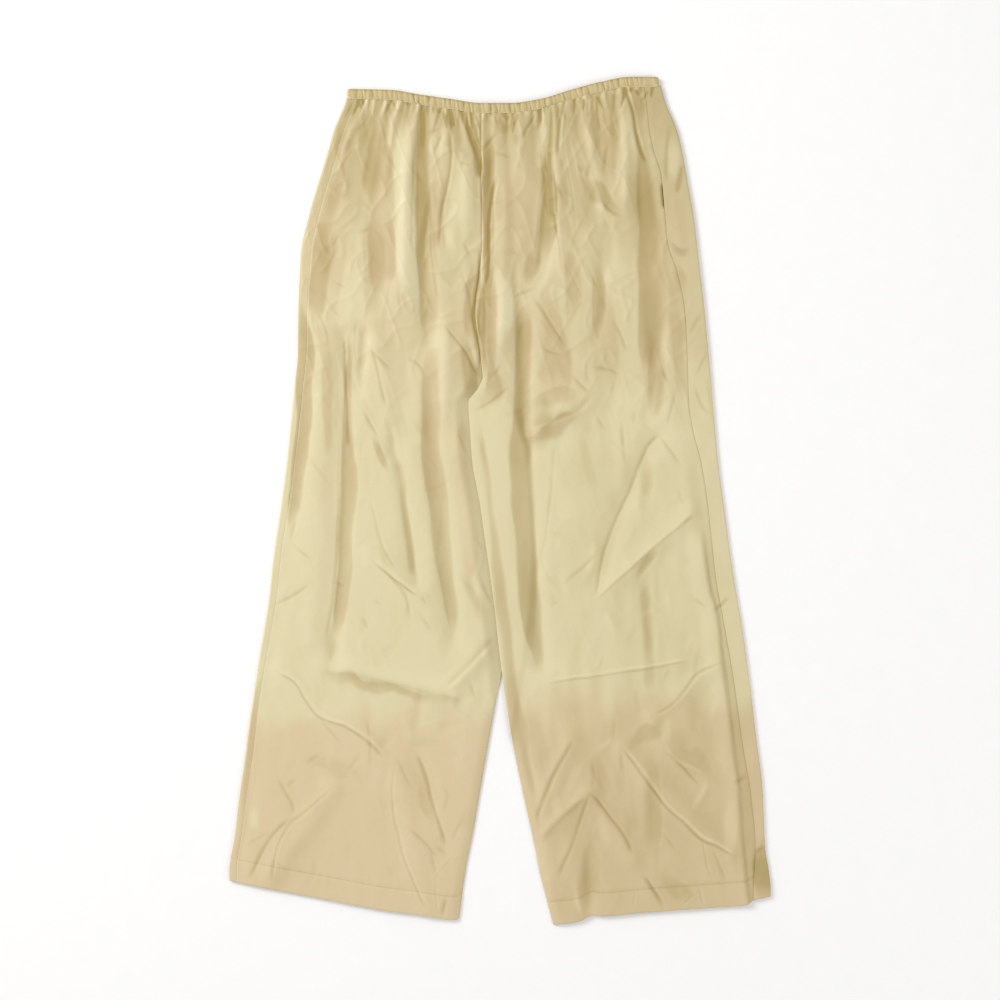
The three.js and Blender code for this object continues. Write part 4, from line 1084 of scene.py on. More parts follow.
@dataclass
class TopSurface:
    """Upper side of the laid garment, front panels and the rolled strips of the back ones.

    Attributes:
        relief: Creases of the front.
        faces: Flat faces of the front.
        swell_share: Share of the broad folds' height.
    """

    relief: Relief
    faces: Faces
    swell_share: float = 0.62

    def front(self, leg: Leg, x: Grid, y: Grid, ripple: Grid) -> tuple[Grid, Grid]:
        """Height and shade of a front panel.

        Args:
            leg: The leg.
            x: Places across the garment.
            y: Places down the garment.
            ripple: Height of the gathers.

        Returns:
            Height over the surface in millimetres, and shade.
        """
        inward, bare = leg.side * (leg.seam(y) - x), BARE_STRIP(y)
        body = BODY(y) + self.swell_share * swell_height(x, y)
        lapped = 1 - smooth(y, -70, -20) if leg.side > 0 else np.zeros_like(y)
        body = body + lapped * 1.7 * (1 - smooth(inward, bare, bare + 26))
        soft = smooth(inward, 0, 24)
        sharp = smooth(inward, bare - 1.1, bare + 1.3)
        height = mix(EDGE(y), body, mix(soft, sharp, lapped))
        relief, shade = self.relief.form(x, y)
        height = height + relief + ripple - 0.6 * np.clip(self.faces.painted_shading(x, y)[0], -0.2, 0.5)
        height = height - SEAM_GROOVE * bell(inward / SEAM_REACH) * (1 - 0.5 * lapped)
        height = height - 0.5 * bell((x - CENTRE(y)) / 1.2) * (1 - below_crotch(y))
        under = REST + (lap_height(x, y, 18) if leg.side > 0 else 0)
        pocket = smooth(y, 190, 212) * smooth(150 - inward, 0, 24)
        least = np.maximum(under + 1.0, 4.6 * pocket)
        height = above(height, least, 0.7)
        share = rounded(leg.side * (x - leg.inner(y)) / 13)
        if leg.side < 0:
            share = share * smooth(LEFT_LEG.inner_edge(y) - x, 2, 17)
        shade = shade - 0.16 * ripple + leg.seam_tone * bell(inward / 1.6)
        shade = shade + lapped * 0.2 * (1 - smooth(inward, bare - 1.5, bare + 0.8))
        return mix(least, height, 1 - below_crotch(y) * (1 - share)), shade

    def strip(self, leg: Leg, x: Grid, y: Grid) -> tuple[Grid, Grid]:
        """Height and shade of the back panel's strip beside the side seam.

        Args:
            leg: The leg.
            x: Places across the garment.
            y: Places down the garment.

        Returns:
            Height over the surface in millimetres, and shade.
        """
        inward = leg.side * (x - leg.seam(y))
        room = leg.side * (leg.outer(y) - leg.seam(y))
        relief, shade = self.relief.form(x, y)
        height = EDGE(y) + relief * (1 - smooth(inward, 0.55 * room, room))
        groove = bell(inward / SEAM_REACH)
        return height - SEAM_GROOVE * groove, shade + leg.seam_tone * groove


def line_cloth(outer: Grid, inward: Grid, wall: Grid) -> Grid:
    """Coarser inner side of a cloth that stays inside its outer side.

    Args:
        outer: Points of the outer side, rows by columns by 3, odd in rows and columns.
        inward: Unit direction towards the inside at each point.
        wall: Thickness at each point.

    Returns:
        Every second point of each row and column, moved inwards.
    """
    rows, columns = outer.shape[:2]
    reach = np.zeros((rows, columns))
    for dr in range(-2, 3):
        near_rows = np.clip(np.arange(rows) + dr, 0, rows - 1)
        for dc in range(-2, 3):
            near_columns = np.clip(np.arange(columns) + dc, 0, columns - 1)
            step = outer[near_rows][:, near_columns] - outer
            reach = np.maximum(reach, (step * inward).sum(-1))
    return (outer + inward * (reach + wall)[..., None])[::2, ::2]


def add_mesh(name: str, points: Grid, faces: list, uv: Grid | None = None) -> bpy.types.Object:
    """Make an object of points in millimetres.

    Args:
        name: Name of the piece.
        points: Points in millimetres.
        faces: Corner numbers of each face.
        uv: Place of each point on the cloth, in metres.

    Returns:
        The new object, smooth all over.
    """
    mesh = bpy.data.meshes.new(name)
    mesh.from_pydata((points * MM).tolist(), [], faces)
    if uv is not None:
        corners = np.empty(len(mesh.loops), dtype=np.int32)
        mesh.loops.foreach_get("vertex_index", corners)
        layer = mesh.uv_layers.new(name="cloth")
        layer.data.foreach_set("uv", uv[corners].astype(np.float32).ravel())
    mesh.shade_smooth()
    mesh.update()
    made = bpy.data.objects.new(name, mesh)
    bpy.context.scene.collection.objects.link(made)
    return made


def paint(piece: bpy.types.Object, label: str, *values: Grid) -> None:
    """Give a piece's points a named value each, that its finish reads."""
    layer = piece.data.attributes.new(label, "FLOAT", "POINT")
    layer.data.foreach_set("value", np.concatenate([part.ravel() for part in values]).astype(np.float32))


def quads(number: Grid, turned: bool = False) -> list:
    """Faces between neighbours in a grid of point numbers.

    Args:
        number: Point numbers, rows by columns.
        turned: Whether the faces point the other way.

    Returns:
        Corner numbers of each face.
    """
    order = number[:-1, :-1], number[1:, :-1], number[1:, 1:], number[:-1, 1:]
    if turned:
        order = order[0], *order[:0:-1]
    return np.stack([part.ravel() for part in order], 1).tolist()


def soften(height: Grid) -> Grid:
    """Values evened out with those beside them."""
    padded = np.pad(height, 1, mode="edge")
    return (padded[:-2, 1:-1] + padded[2:, 1:-1] + padded[1:-1, :-2] + padded[1:-1, 2:] + 2 * height) / 6


def cloth_tones(faces: Faces, x: Grid, y: Grid) -> tuple[Grid, Grid]:
    """Shade and warmth of the cloth's flat faces, with the beige of the lower legs.

    Args:
        faces: Flat faces between the folds.
        x: Places across the garment.
        y: Places down the garment.

    Returns:
        Shade and warmth at each place.
    """
    wobble = Wander(91, 36, 30)(x, y)
    edge = np.where(x < 0, -262, -246) + 14 * wobble + 12 * Wander(92, 14, 60)(x, y)
    lower = 1 - smooth(y, edge - 40, edge + 36)
    dark = 0.2 * lower * smooth(x, 20, 90) + 0.05 * smooth(x, 0, 120)
    dark = dark + 0.16 * smooth(y, 60, 270) + 0.24 * smooth(y, 250, 470) + 0.12 * smooth(y, 420, 480)
    dark = dark + 0.08 * smooth(x, 30, 110) * (1 - lower) * (1 - smooth(y, 40, 150))
    face_dark, face_warm = faces.painted_shading(x, y)
    return dark + face_dark, lower + 0.18 * smooth(y, -20, 60) + 0.26 * smooth(y, 60, 210) + face_warm


def add_cloth(
    name: str, outer: Grid, inward: Grid, wall: Grid, shade: Grid, flat_faces: Faces
) -> bpy.types.Object:
    """Make a thin closed cloth from a grid of its outer side.

    Args:
        name: Name of the piece.
        outer: Points of the outer side in millimetres, rows by columns by 3.
        inward: Direction towards the inside at each point.
        wall: Thickness at each point.
        shade: Shade of the outer side.
        flat_faces: Flat faces whose painted shading the cloth takes.

    Returns:
        The new object with its place on the cloth, its shade and its warmth.
    """
    rows, columns = outer.shape[:2]
    inner = line_cloth(outer, inward, wall)
    half_rows, half_columns = inner.shape[:2]
    number = np.arange(rows * columns).reshape(rows, columns)
    lining = rows * columns + np.arange(half_rows * half_columns).reshape(half_rows, half_columns)
    r, s = rows // 2, columns // 2
    across, down = outer[r, s + 1] - outer[r, s], outer[r + 1, s] - outer[r, s]
    turned = float(np.dot(np.cross(down, across), inward[r, s])) > 0
    faces = quads(number) + quads(lining, turned=True)
    rims = (
        (number[::-1, 0], lining[::-1, 0]),
        (number[0, :], lining[0, :]),
        (number[:, -1], lining[:, -1]),
        (number[-1, ::-1], lining[-1, ::-1]),
    )
    for fine, coarse in rims:
        first, middle, last, start, end = fine[:-2:2], fine[1:-1:2], fine[2::2], coarse[:-1], coarse[1:]
        for corners in ((first, middle, start), (middle, end, start), (middle, last, end)):
            faces += np.stack(corners, 1).tolist()
    if turned:
        faces = [face[::-1] for face in faces]
    steps_x = np.linalg.norm(np.diff(outer, axis=1), axis=2).mean(0)
    steps_y = np.linalg.norm(np.diff(outer, axis=0), axis=2).mean(1)
    place = np.stack(np.meshgrid(running(steps_x), running(steps_y)), -1) * MM
    uv = np.vstack([place.reshape(-1, 2), place[::2, ::2].reshape(-1, 2)])
    made = add_mesh(name, np.vstack([outer.reshape(-1, 3), inner.reshape(-1, 3)]), faces, uv)
    dark, warmth = cloth_tones(flat_faces, outer[..., 0], outer[..., 1])
    for label, values in (("shade", shade + dark), ("warmth", warmth)):
        paint(made, label, values, values[::2, ::2])
    return made


EDGE_STEPS = np.array([0, 0.5, 1.1, 1.9, 2.9])
EDGE_ZONE = 4.0
PANEL_WIDTH = 230
SEAM_GAP = 0.06


def in_hem(drop: Grid) -> Grid:
    """Share of the turned-up ply at a distance above the hem line."""
    return 1 - smooth(drop, HEM_DEPTH - 2, HEM_DEPTH + 2)


def hem_row(drop: Grid) -> int:
    """Row of a panel that its hem stitches follow."""
    return int(np.abs(drop[:, 0] - HEM_DEPTH + 0.6).argmin())


def hem_profile(drop: Grid, x: Grid) -> Grid:
    """Height that the turned-up hem adds, with its stitched groove.

    Args:
        drop: Distance above the hem line in millimetres.
        x: Places across the garment.

    Returns:
        Height in millimetres.
    """
    groove = 0.5 * bell((drop - HEM_DEPTH) / 1.7)
    pucker = 0.16 * np.sin(x * 0.62 + 1.4 * np.sin(x * 0.11)) * bell((drop - HEM_DEPTH) / 6.5)
    return 0.45 * in_hem(drop) - groove + pucker - 0.7 * (1 - rounded(drop / 2.2))


def row_shares(length: float, rows: int) -> Grid:
    """Shares of the way down at which a panel has its rows, closer at the hem line."""
    body = np.linspace(-1.5, length - 3, rows - 5)
    return np.concatenate([body, length - np.array([2.2, 1.5, 0.8, 0.3, 0])]) / length


@dataclass
class FrontPanel:
    """Front of one leg, from the side seam to the centre and inner leg.

    Attributes:
        leg: The leg that it covers.
        top: Height of the upper side.
        gathers: Gathers below the casing.
        drapes: Broad soft folds that hang on from them.
        columns: Columns between the edges' closer ones.
        rows: Rows from waist to hem.
    """

    leg: Leg
    top: TopSurface
    gathers: Gathers
    drapes: Gathers
    columns: int = 133
    rows: int = 501

    def grid(self) -> tuple[Grid, Grid, Grid]:
        """Shape the outer side.

        Returns:
            Its points, their distance above the hem line and their shade.
        """
        leg = self.leg
        top_inner, hem_inner, length = leg.ends()
        down = row_shares(length, self.rows)[:, None]
        inner_steps = EDGE_ZONE - EDGE_STEPS[::-1]
        share = np.concatenate([np.zeros(5), np.linspace(0, 1, self.columns), np.ones(5)])[None, :]
        offset = np.concatenate([EDGE_STEPS - EDGE_ZONE, np.zeros(self.columns), inner_steps])[None, :]
        place = (EDGE_ZONE + offset + share * (PANEL_WIDTH - 2 * EDGE_ZONE)) / PANEL_WIDTH

        def across(height: Grid) -> Grid:
            """Places across the panel at each height."""
            return mix(leg.seam(height), leg.inner(height), place)

        top_x = mix(leg.seam(WAIST_Y), top_inner, place)
        y = leg.settle(down, top_x, mix(leg.seam(SEAM_HEM_Y), hem_inner, place), leg.hem_line, across)
        start = leg.seam(y) - leg.side * (SEAM_GAP + EDGE_ZONE)
        end = leg.inner(y) + leg.side * (SEAM_GAP + EDGE_ZONE)
        x = mix(start, end, share) - leg.side * offset
        inward = leg.side * (leg.seam(y) - x)
        mouth = smooth(y, 353, 360) * (1 - smooth(y, 380, 388))
        if leg.side > 0:
            x = x - leg.side * 0.65 * mouth * np.exp(-inward / 7)
        width = np.abs(leg.seam(y) - leg.inner(y))
        ripple, drape = (
            part.rise(place + 0 * y, down * length + 0 * y, width) for part in (self.gathers, self.drapes)
        )
        drop = (1 - down) * length + 0 * y
        z, shade = self.top.front(leg, x, y, ripple + drape)
        slope = np.gradient(z, axis=1) / np.gradient(x, axis=1)
        shade = shade - 0.2 * np.tanh(6 * soften(slope)) - 0.08 * drape
        z = z + hem_profile(drop, x)
        shade = shade + 0.16 * bell((drop - HEM_DEPTH) / 1.5)
        if leg.side > 0:
            z = z - 0.9 * mouth * bell(inward / 3)
            shade = shade + 0.8 * mouth * bell(inward / 2.5)
        return np.stack([x, y, z], -1), drop, shade

    def build(self) -> bpy.types.Object:
        """Make the panel's cloth."""
        points, drop, shade = self.grid()
        name, wall = f"satin_front_{self.leg.name}", CLOTH + 0.9 * in_hem(drop)
        return add_cloth(name, points, upward(points, -1.0), wall, shade, self.top.faces)

    def stitch_path(self) -> tuple[Grid, Grid]:
        """Line of the hem's stitches on the panel and the way out of the cloth."""
        points, drop, _ = self.grid()
        line = points[hem_row(drop)]
        return line, upward(line)


@dataclass
class BackPanel:
    """Back of one leg, with its strip on the front, its outer fold and its underside.

    Attributes:
        leg: The leg that it covers.
        top: Height of the strip.
        relief: Shallow hollows of the underside.
        gathers: Gathers of the back below the casing.
        rows: Rows from waist to hem.
    """

    leg: Leg
    top: TopSurface
    relief: Relief
    gathers: Gathers
    rows: int = 431

    def grid(self) -> tuple[Grid, Grid, Grid, Grid]:
        """Shape the outer side, from the side seam round the outer fold and under the leg.

        Returns:
            Its points, the direction inwards, their distance above the hem line and their shade.
        """
        leg, side = self.leg, self.leg.side
        top_inner, hem_inner, length = leg.ends()
        down = row_shares(length, self.rows)[:, None]
        drop = (1 - down) * length
        seam_y = leg.settle(down, leg.seam(WAIST_Y), leg.seam(SEAM_HEM_Y), leg.hem_line, leg.seam)
        top_outer, hem_outer = leg.outer(WAIST_Y), leg.outer(OUTER_HEM_Y)
        outer_y = leg.settle(down, top_outer, hem_outer, leg.back_hem_line, leg.outer)
        outer_x = leg.outer(outer_y) + 0.3 * np.sin(outer_y / 21) * np.sin(outer_y / 53)
        radius = EDGE(outer_y) / 2
        centre = outer_x - side * radius
        seam_x = leg.seam(seam_y) + side * SEAM_GAP
        span = side * (centre - seam_x)
        share = np.concatenate([EDGE_STEPS / 30, np.linspace(0.13, 1, 14)])[None, :]
        strip_x, strip_y = seam_x + side * share * span, mix(seam_y, outer_y, share)
        strip_z, strip_shade = self.top.strip(leg, strip_x, strip_y)
        strip_z = strip_z + hem_profile(drop + 0 * strip_x, strip_x)
        angle = np.pi / 2 - np.linspace(0, 1, 11)[None, 1:] * np.pi
        bend_x = centre + side * radius * np.cos(angle)
        bend_y = outer_y + 0 * bend_x
        bend_z = CLEARANCE + 0.5 * (strip_z[:, -1:] - CLEARANCE) * (1 + np.sin(angle))
        under = np.linspace(0, 1, 97)[None, 1:]

        def across(height: Grid) -> Grid:
            """Places across the underside at each height."""
            return mix(centre + 0 * height, leg.inner(height), under)

        top_x, hem_x = mix(top_outer, top_inner, under), mix(hem_outer, hem_inner, under)
        under_y = leg.settle(down, top_x, hem_x, leg.back_hem_line, across)
        under_x = mix(centre + 0 * under_y, leg.inner(under_y) + side * SEAM_GAP, under)
        width = np.abs(under_x[:, -1:] - centre)
        ripple = self.gathers.rise(under + 0 * under_y, down * length + 0 * under_y, width)
        under_relief, under_shade = self.relief.form(under_x, under_y)
        hollows = np.maximum(-under_relief, 0) + np.abs(ripple)
        lifted = 0.7 * np.tanh(hollows / 0.7) * smooth(np.abs(under_x - centre), 0, 12)
        under_z = CLEARANCE + lifted
        if side > 0:
            under_z = under_z + lap_height(under_x, under_y, 0)
        x, y, z = (
            np.hstack(parts)
            for parts in ((strip_x, bend_x, under_x), (strip_y, bend_y, under_y), (strip_z, bend_z, under_z))
        )
        inward = np.zeros((*x.shape, 3))
        turn = np.hstack([np.full(share.shape[1], np.pi / 2), angle[0], np.full(under.shape[1], -np.pi / 2)])
        inward[..., 0] = -side * np.cos(turn)
        inward[..., 2] = -np.sin(turn)
        shade = np.hstack([strip_shade, 0 * bend_z, under_shade])
        return np.stack([x, y, z], -1), inward, drop + 0 * x, shade

    def build(self) -> bpy.types.Object:
        """Make the panel's cloth."""
        points, inward, drop, shade = self.grid()
        name, wall = f"satin_back_{self.leg.name}", CLOTH + 0.6 * in_hem(drop)
        return add_cloth(name, points, inward, wall, shade, self.top.faces)

    def stitch_path(self) -> tuple[Grid, Grid]:
        """Line of the hem's stitches round the panel and the way out of the cloth."""
        points, inward, drop, _ = self.grid()
        row = hem_row(drop)
        return points[row] + np.array([0, 0, 0.2]) * (inward[row, :, 2:] > 0.5), -inward[row]


@dataclass
class Casing:
    """Narrow elastic casing, gathered into uneven lobes, closed round the waist.

    Attributes:
        left: Outer end at -X.
        right: Outer end at +X.
        depth: Thickness of one run with the elastic in it.
        back_middle: Height of the back run's middle.
        front_middle: Height of the front run's middle.
        lobes: How many lobes each run has.
    """

    left: float = -186.0
    right: float = 193.5
    depth: float = 3.2
    back_middle: float = 1.65
    front_middle: float = 5.2
    lobes: int = 60
    STATIONS: ClassVar[int] = 11
    CORNERS: ClassVar[int] = 22
    PUCKERS: ClassVar[int] = 128

    def stations(self) -> Grid:
        """Lay out the sections of the band, along the front run and back.

        Returns:
            Rows of x, z, outward x, outward z, lobe count and how far it is gathered.
        """
        radius = (self.front_middle - self.back_middle) / 2
        middle = (self.front_middle + self.back_middle) / 2
        inset = self.depth / 2 + radius
        low, high = self.left + inset, self.right - inset
        count = self.lobes * self.STATIONS
        rng = np.random.default_rng(41)
        parts = []
        for start, end, height, out in ((low, high, self.front_middle, 1), (high, low, self.back_middle, -1)):
            widths = rng.uniform(0.62, 1.38, self.lobes)
            bounds = running(widths) / widths.sum()
            share = np.linspace(0, 1, count)
            x = mix(start, end, share)
            phase = np.interp(share, bounds, np.arange(self.lobes + 1))
            firm = 1 - 0.75 * smooth(x, 160, 184) - 0.35 * smooth(-x, 164, 184)
            parts.append(np.stack([x, 0 * x + height, 0 * x, 0 * x + out, phase, firm], 1))
            angle = np.linspace(0, np.pi, 12)[1:-1]
            sweep = np.pi / 2 - angle if out > 0 else -np.pi / 2 - angle
            out_x, out_z = np.cos(sweep), np.sin(sweep)
            bend = [end + radius * out_x, middle + radius * out_z, out_x, out_z, 0 * angle + 0.5, 0 * angle]
            parts.append(np.stack(bend, 1))
        return np.vstack(parts)

    def ring(self, inset: float, step: int, corners: int) -> tuple[Grid, Grid]:
        """Points of the casing's surface.

        Args:
            inset: How far below the outer surface the points lie.
            step: Takes every step-th station.
            corners: Points round the section.

        Returns:
            Points, stations by corners by 3, and the shade at each.
        """
        rows = self.stations()[::step]
        x, z, out_x, out_z, phase, firm = (rows[:, k : k + 1] for k in range(6))
        turn = np.linspace(0, 2 * np.pi, corners, endpoint=False)[None, :]
        along, out = (np.sign(part) * np.abs(part) ** 0.72 for part in (np.cos(turn), np.sin(turn)))
        lean = 0.035 + 0.06 * smooth(x, -60, 120)
        here = phase + lean * along * 2.2 + 0.1 * np.sin(phase * 2.7 + 1.9 * along)
        from_line = np.abs(here - np.round(here))
        nearest = np.clip(np.round(here).astype(int), 0, self.PUCKERS - 1)
        rng = np.random.default_rng(57)
        deepness, breadth = rng.uniform(0.35, 1.0, self.PUCKERS), rng.uniform(0.12, 0.24, self.PUCKERS)
        valley = firm * deepness[nearest] * bell(from_line / breadth[nearest])
        valley = valley * (0.7 + 0.3 * np.sin(1.7 * nearest + 1.5 * along))
        faint = 0.25 * firm * bell((from_line - 0.3) / 0.07) * (np.sin(phase * 1.9) > 0.2)
        size = 1 + 0.1 * np.sin(np.floor(here + 0.5) * 2.4 + 0.8)
        rounding = 0.62 + 0.38 * rounded(np.minimum(x - self.left, self.right - x) / 5.5)
        tall = CASING_HEIGHT / 2 * (1 - 0.07 * valley) * rounding - inset
        seam = 0.35 * bell((along + 0.72) / 0.1)
        deep = self.depth / 2 * size - 0.55 * valley - 0.2 * faint - seam - inset
        deep = np.where(out > 0, deep, self.depth / 2 - 0.25 * valley - inset)
        y = CASING_EDGE(x) - CASING_HEIGHT / 2 + along * tall
        points = np.stack([x + out_x * out * deep, y, z + out_z * out * deep], -1)
        # Painted highlight on each lobe, painted shade in the valleys between lobes and along the rounded
        # top, and painted light along the lower edge where it meets the cloth
        lit = bell((here - np.round(here) - 0.3) / 0.1) * firm
        rims = 0.55 * smooth(along, 0.45, 1) - 0.5 * smooth(-along, 0.5, 0.9)
        shade = 0.8 * valley + 0.3 * faint - 0.3 * lit + rims + 0.2 + 0.1 * np.sin(2.1 * nearest + along)
        return points, shade + 0 * x

    def build(self) -> bpy.types.Object:
        """Make the gathered tube with its inner side."""
        outer, shade = self.ring(0, 1, self.CORNERS)
        inner, _ = self.ring(0.5, 4, 8)
        faces, points, start = [], [], 0
        for grid in (outer, inner):
            number = start + np.arange(grid[..., 0].size).reshape(grid.shape[:2])
            faces += quads(np.pad(number, ((0, 1), (0, 1)), mode="wrap"), turned=grid is outer)
            points.append(grid.reshape(-1, 3))
            start += number.size
        points = np.vstack(points)
        made = add_mesh("satin_casing", points, faces, points[:, :2] * MM)
        paint(made, "shade", shade, np.full(inner.shape[:2], 0.2))
        return made

    def stitch_path(self) -> tuple[Grid, Grid]:
        """Line of the stitches along the casing's lower edge and the way out."""
        points, _ = self.ring(0, 1, self.CORNERS)
        front = points[: self.lobes * self.STATIONS, 7].copy()
        front[:, 1] = CASING_EDGE(front[:, 0]) - CASING_HEIGHT + 1.6
        return front, upward(front)


def stitch_row(name: str, path: Grid, out: Grid, length: float, gap: float, girth: float) -> bpy.types.Object:
    """Make a row of separate stitches on a cloth as one mesh.

    Args:
        name: Name of the piece.
        path: Points of the stitched line in millimetres.
        out: Way out of the cloth at each point.
        length: Length of one stitch.
        gap: Distance between stitches.
        girth: Half thickness of the thread.

    Returns:
        The new object.
    """
    reach = running(np.linalg.norm(np.diff(path, axis=0), axis=1))
    starts = np.arange(1.5, reach[-1] - length - 1.5, length + gap)
    shares = np.array([0.0, 0.12, 0.5, 0.88, 1.0])
    sizes = np.array([0.25, 0.85, 1.0, 0.85, 0.25]) * girth
    at = starts[:, None] + shares[None, :] * length
    middle, up = (np.stack([np.interp(at, reach, part[:, k]) for k in range(3)], -1) for part in (path, out))
    ahead = middle[:, -1:] - middle[:, :1]
    ahead = ahead / np.linalg.norm(ahead, axis=-1, keepdims=True) + 0 * middle
    side = np.cross(ahead, up)
    middle = middle + up * 0.5 * girth * np.sin(shares * np.pi)[None, :, None]
    turn = np.linspace(0, 2 * np.pi, 5, endpoint=False)
    wide, tall = np.cos(turn)[:, None] * side[:, :, None, :], np.sin(turn)[:, None] * up[:, :, None, :]
    ring = middle[:, :, None, :] + sizes[:, None, None] * (wide + tall)
    number = np.arange(ring.shape[0] * 25).reshape(-1, 5, 5)
    beside = np.roll(number, -1, axis=2)
    corners = number[:, :-1], beside[:, :-1], beside[:, 1:], number[:, 1:]
    faces = np.stack([part.ravel() for part in corners], 1).tolist()
    faces += number[:, 0, ::-1].tolist() + number[:, -1, :].tolist()
    return add_mesh(name, ring.reshape(-1, 3), faces)


LEFT_POCKET = table(
    Point,
    (183, 424), (198, 360), (214, 352), (228, 338), (226, 320), (209, 306), (206, 262), (190, 234),
    (160, 224), (122, 230), (100, 262), (95, 340), (100, 424),
)
RIGHT_POCKET = table(
    Point,
    (-196, 424), (-213, 360), (-216, 320), (-213, 262), (-196, 234), (-166, 224), (-128, 230),
    (-106, 262), (-101, 340), (-108, 424),
)


@dataclass
class PocketBag:
    """Flat pouch of thin lining inside a front.

    Attributes:
        name: Name of the wearer's side.
        outline: Corners of the pouch.
        middle: Height of its middle.
        thickness: Thickness of both plies together.
    """

    name: str
    outline: tuple[Point, ...]
    middle: float = 3.0
    thickness: float = 1.9

    def build(self) -> bpy.types.Object:
        """Make the pouch, rounded at its seam and slightly quilted by its folds."""
        corners = np.array(self.outline)
        steps = np.linspace(0, 1, 10, endpoint=False)[:, None]
        rim = np.vstack([mix(a, b, steps) for a, b in zip(corners, np.roll(corners, -1, 0))])
        for _ in range(3):
            rim = (np.roll(rim, 1, 0) + 2 * rim + np.roll(rim, -1, 0)) / 4
        centre, total = rim.mean(0), len(rim)
        shares = (0, 0.012, 0.035, 0.08, 0.16, 0.28, 0.42, 0.58, 0.74, 0.9)
        folds = Wander(71, 22, 34)
        rings = []
        for face, order in ((1, shares[::-1]), (-1, shares[1:])):
            for share in order:
                place, swell = mix(rim, centre, share), rounded(share / 0.08)
                z = self.middle + face * self.thickness / 2 * swell + 0.18 * folds(*place.T) * swell
                rings.append(np.column_stack([place, z]))
        tips = [[*centre, self.middle + face * self.thickness / 2] for face in (1, -1)]
        points = np.vstack([*rings, tips])
        number = np.pad(np.arange(len(rings) * total).reshape(-1, total), ((0, 0), (0, 1)), mode="wrap")
        faces = quads(number)
        for row, tip in ((number[0], len(points) - 2), (number[-1, ::-1], len(points) - 1)):
            faces += np.stack([row[:-1], row[1:], np.full(total, tip)], 1).tolist()
        area = 0.5 * np.sum(rim[:, 0] * np.roll(rim[:, 1], -1) - np.roll(rim[:, 0], -1) * rim[:, 1])
        if area < 0:
            faces = [face[::-1] for face in faces]
        return add_mesh(f"pocket_lining_{self.name}", points, faces, points[:, :2] * MM)


def tone(red: int, green: int, blue: int) -> tuple[float, float, float, float]:
    """Turn a picture colour into a shader colour.

    Args:
        red: Red, 0 to 255.
        green: Green, 0 to 255.
        blue: Blue, 0 to 255.

    Returns:
        The linear colour with its alpha.
    """
    parts = [value / 255 for value in (red, green, blue)]
    linear = [v / 12.92 if v <= 0.04045 else ((v + 0.055) / 1.055) ** 2.4 for v in parts]
    return (*linear, 1.0)


class Wire:
    """Output of a shader node that can be used in arithmetic."""

    def __init__(self, board: "Board", socket: bpy.types.NodeSocket) -> None:
        """Keep the socket and the board that it is on."""
        self.board = board
        self.socket = socket

    def _join(self, operation: str, first: object, second: object) -> "Wire":
        """Add a Math node of two numbers or wires."""
        return self.board.node("ShaderNodeMath", {"operation": operation}, {0: first, 1: second})

    def __add__(self, other: object) -> "Wire":
        """Sum of both."""
        return self._join("ADD", self, other)

    __radd__ = __add__

    def __sub__(self, other: object) -> "Wire":
        """This less the other."""
        return self._join("SUBTRACT", self, other)

    def __rsub__(self, other: object) -> "Wire":
        """The other less this."""
        return self._join("SUBTRACT", other, self)

    def __mul__(self, other: object) -> "Wire":
        """Product of both."""
        return self._join("MULTIPLY", self, other)

    __rmul__ = __mul__

    def level(self, low: float, high: float, turn: str = "LINEAR") -> "Wire":
        """Share of the way from low to high, kept between 0 and 1."""
        inputs = {"Value": self, "From Min": low, "From Max": high, "To Min": 0.0, "To Max": 1.0}
        return self.board.node("ShaderNodeMapRange", {"interpolation_type": turn}, inputs)


class Board:
    """Node tree of one material."""

    def __init__(self, name: str) -> None:
        """Start a material with a principled shader.

        Args:
            name: Name of the material.
        """
        self.material = bpy.data.materials.new(name)
        self.material.use_nodes = True
        self.nodes = self.material.node_tree.nodes
        self.links = self.material.node_tree.links
        self.shader = next(node for node in self.nodes if node.type == "BSDF_PRINCIPLED")

    def node(self, kind: str, settings: dict, inputs: dict, output: int | str = 0) -> Wire:
        """Add a node.

        Args:
            kind: Type of the node.
            settings: Its own settings, made first.
            inputs: Values or wires of its sockets.
            output: Socket that the wire comes from.

        Returns:
            Wire of the output.
        """
        made = self.nodes.new(kind)
        for key, value in settings.items():
            setattr(made, key, value)
        for key, value in inputs.items():
            self.set(made.inputs[key], value)
        return Wire(self, made.outputs[output])

    def set(self, socket: bpy.types.NodeSocket, value: object) -> None:
        """Give a socket a value or a wire.

        Args:
            socket: Socket of a node.
            value: Number, colour, vector or wire.
        """
        if isinstance(value, Wire):
            self.links.new(value.socket, socket)
        else:
            socket.default_value = value

    def mixed(self, first: object, second: object, share: object) -> Wire:
        """Colour a share of the way from the first to the second."""
        inputs = {0: share, 6: first, 7: second}
        return self.node("ShaderNodeMix", {"data_type": "RGBA"}, inputs, 2)

    def noise(self, place: Wire, scale: float, detail: float, rough: float) -> Wire:
        """Soft noise from 0 to 1."""
        inputs = {"Vector": place, "Scale": scale, "Detail": detail, "Roughness": rough}
        return self.node("ShaderNodeTexNoise", {}, inputs)


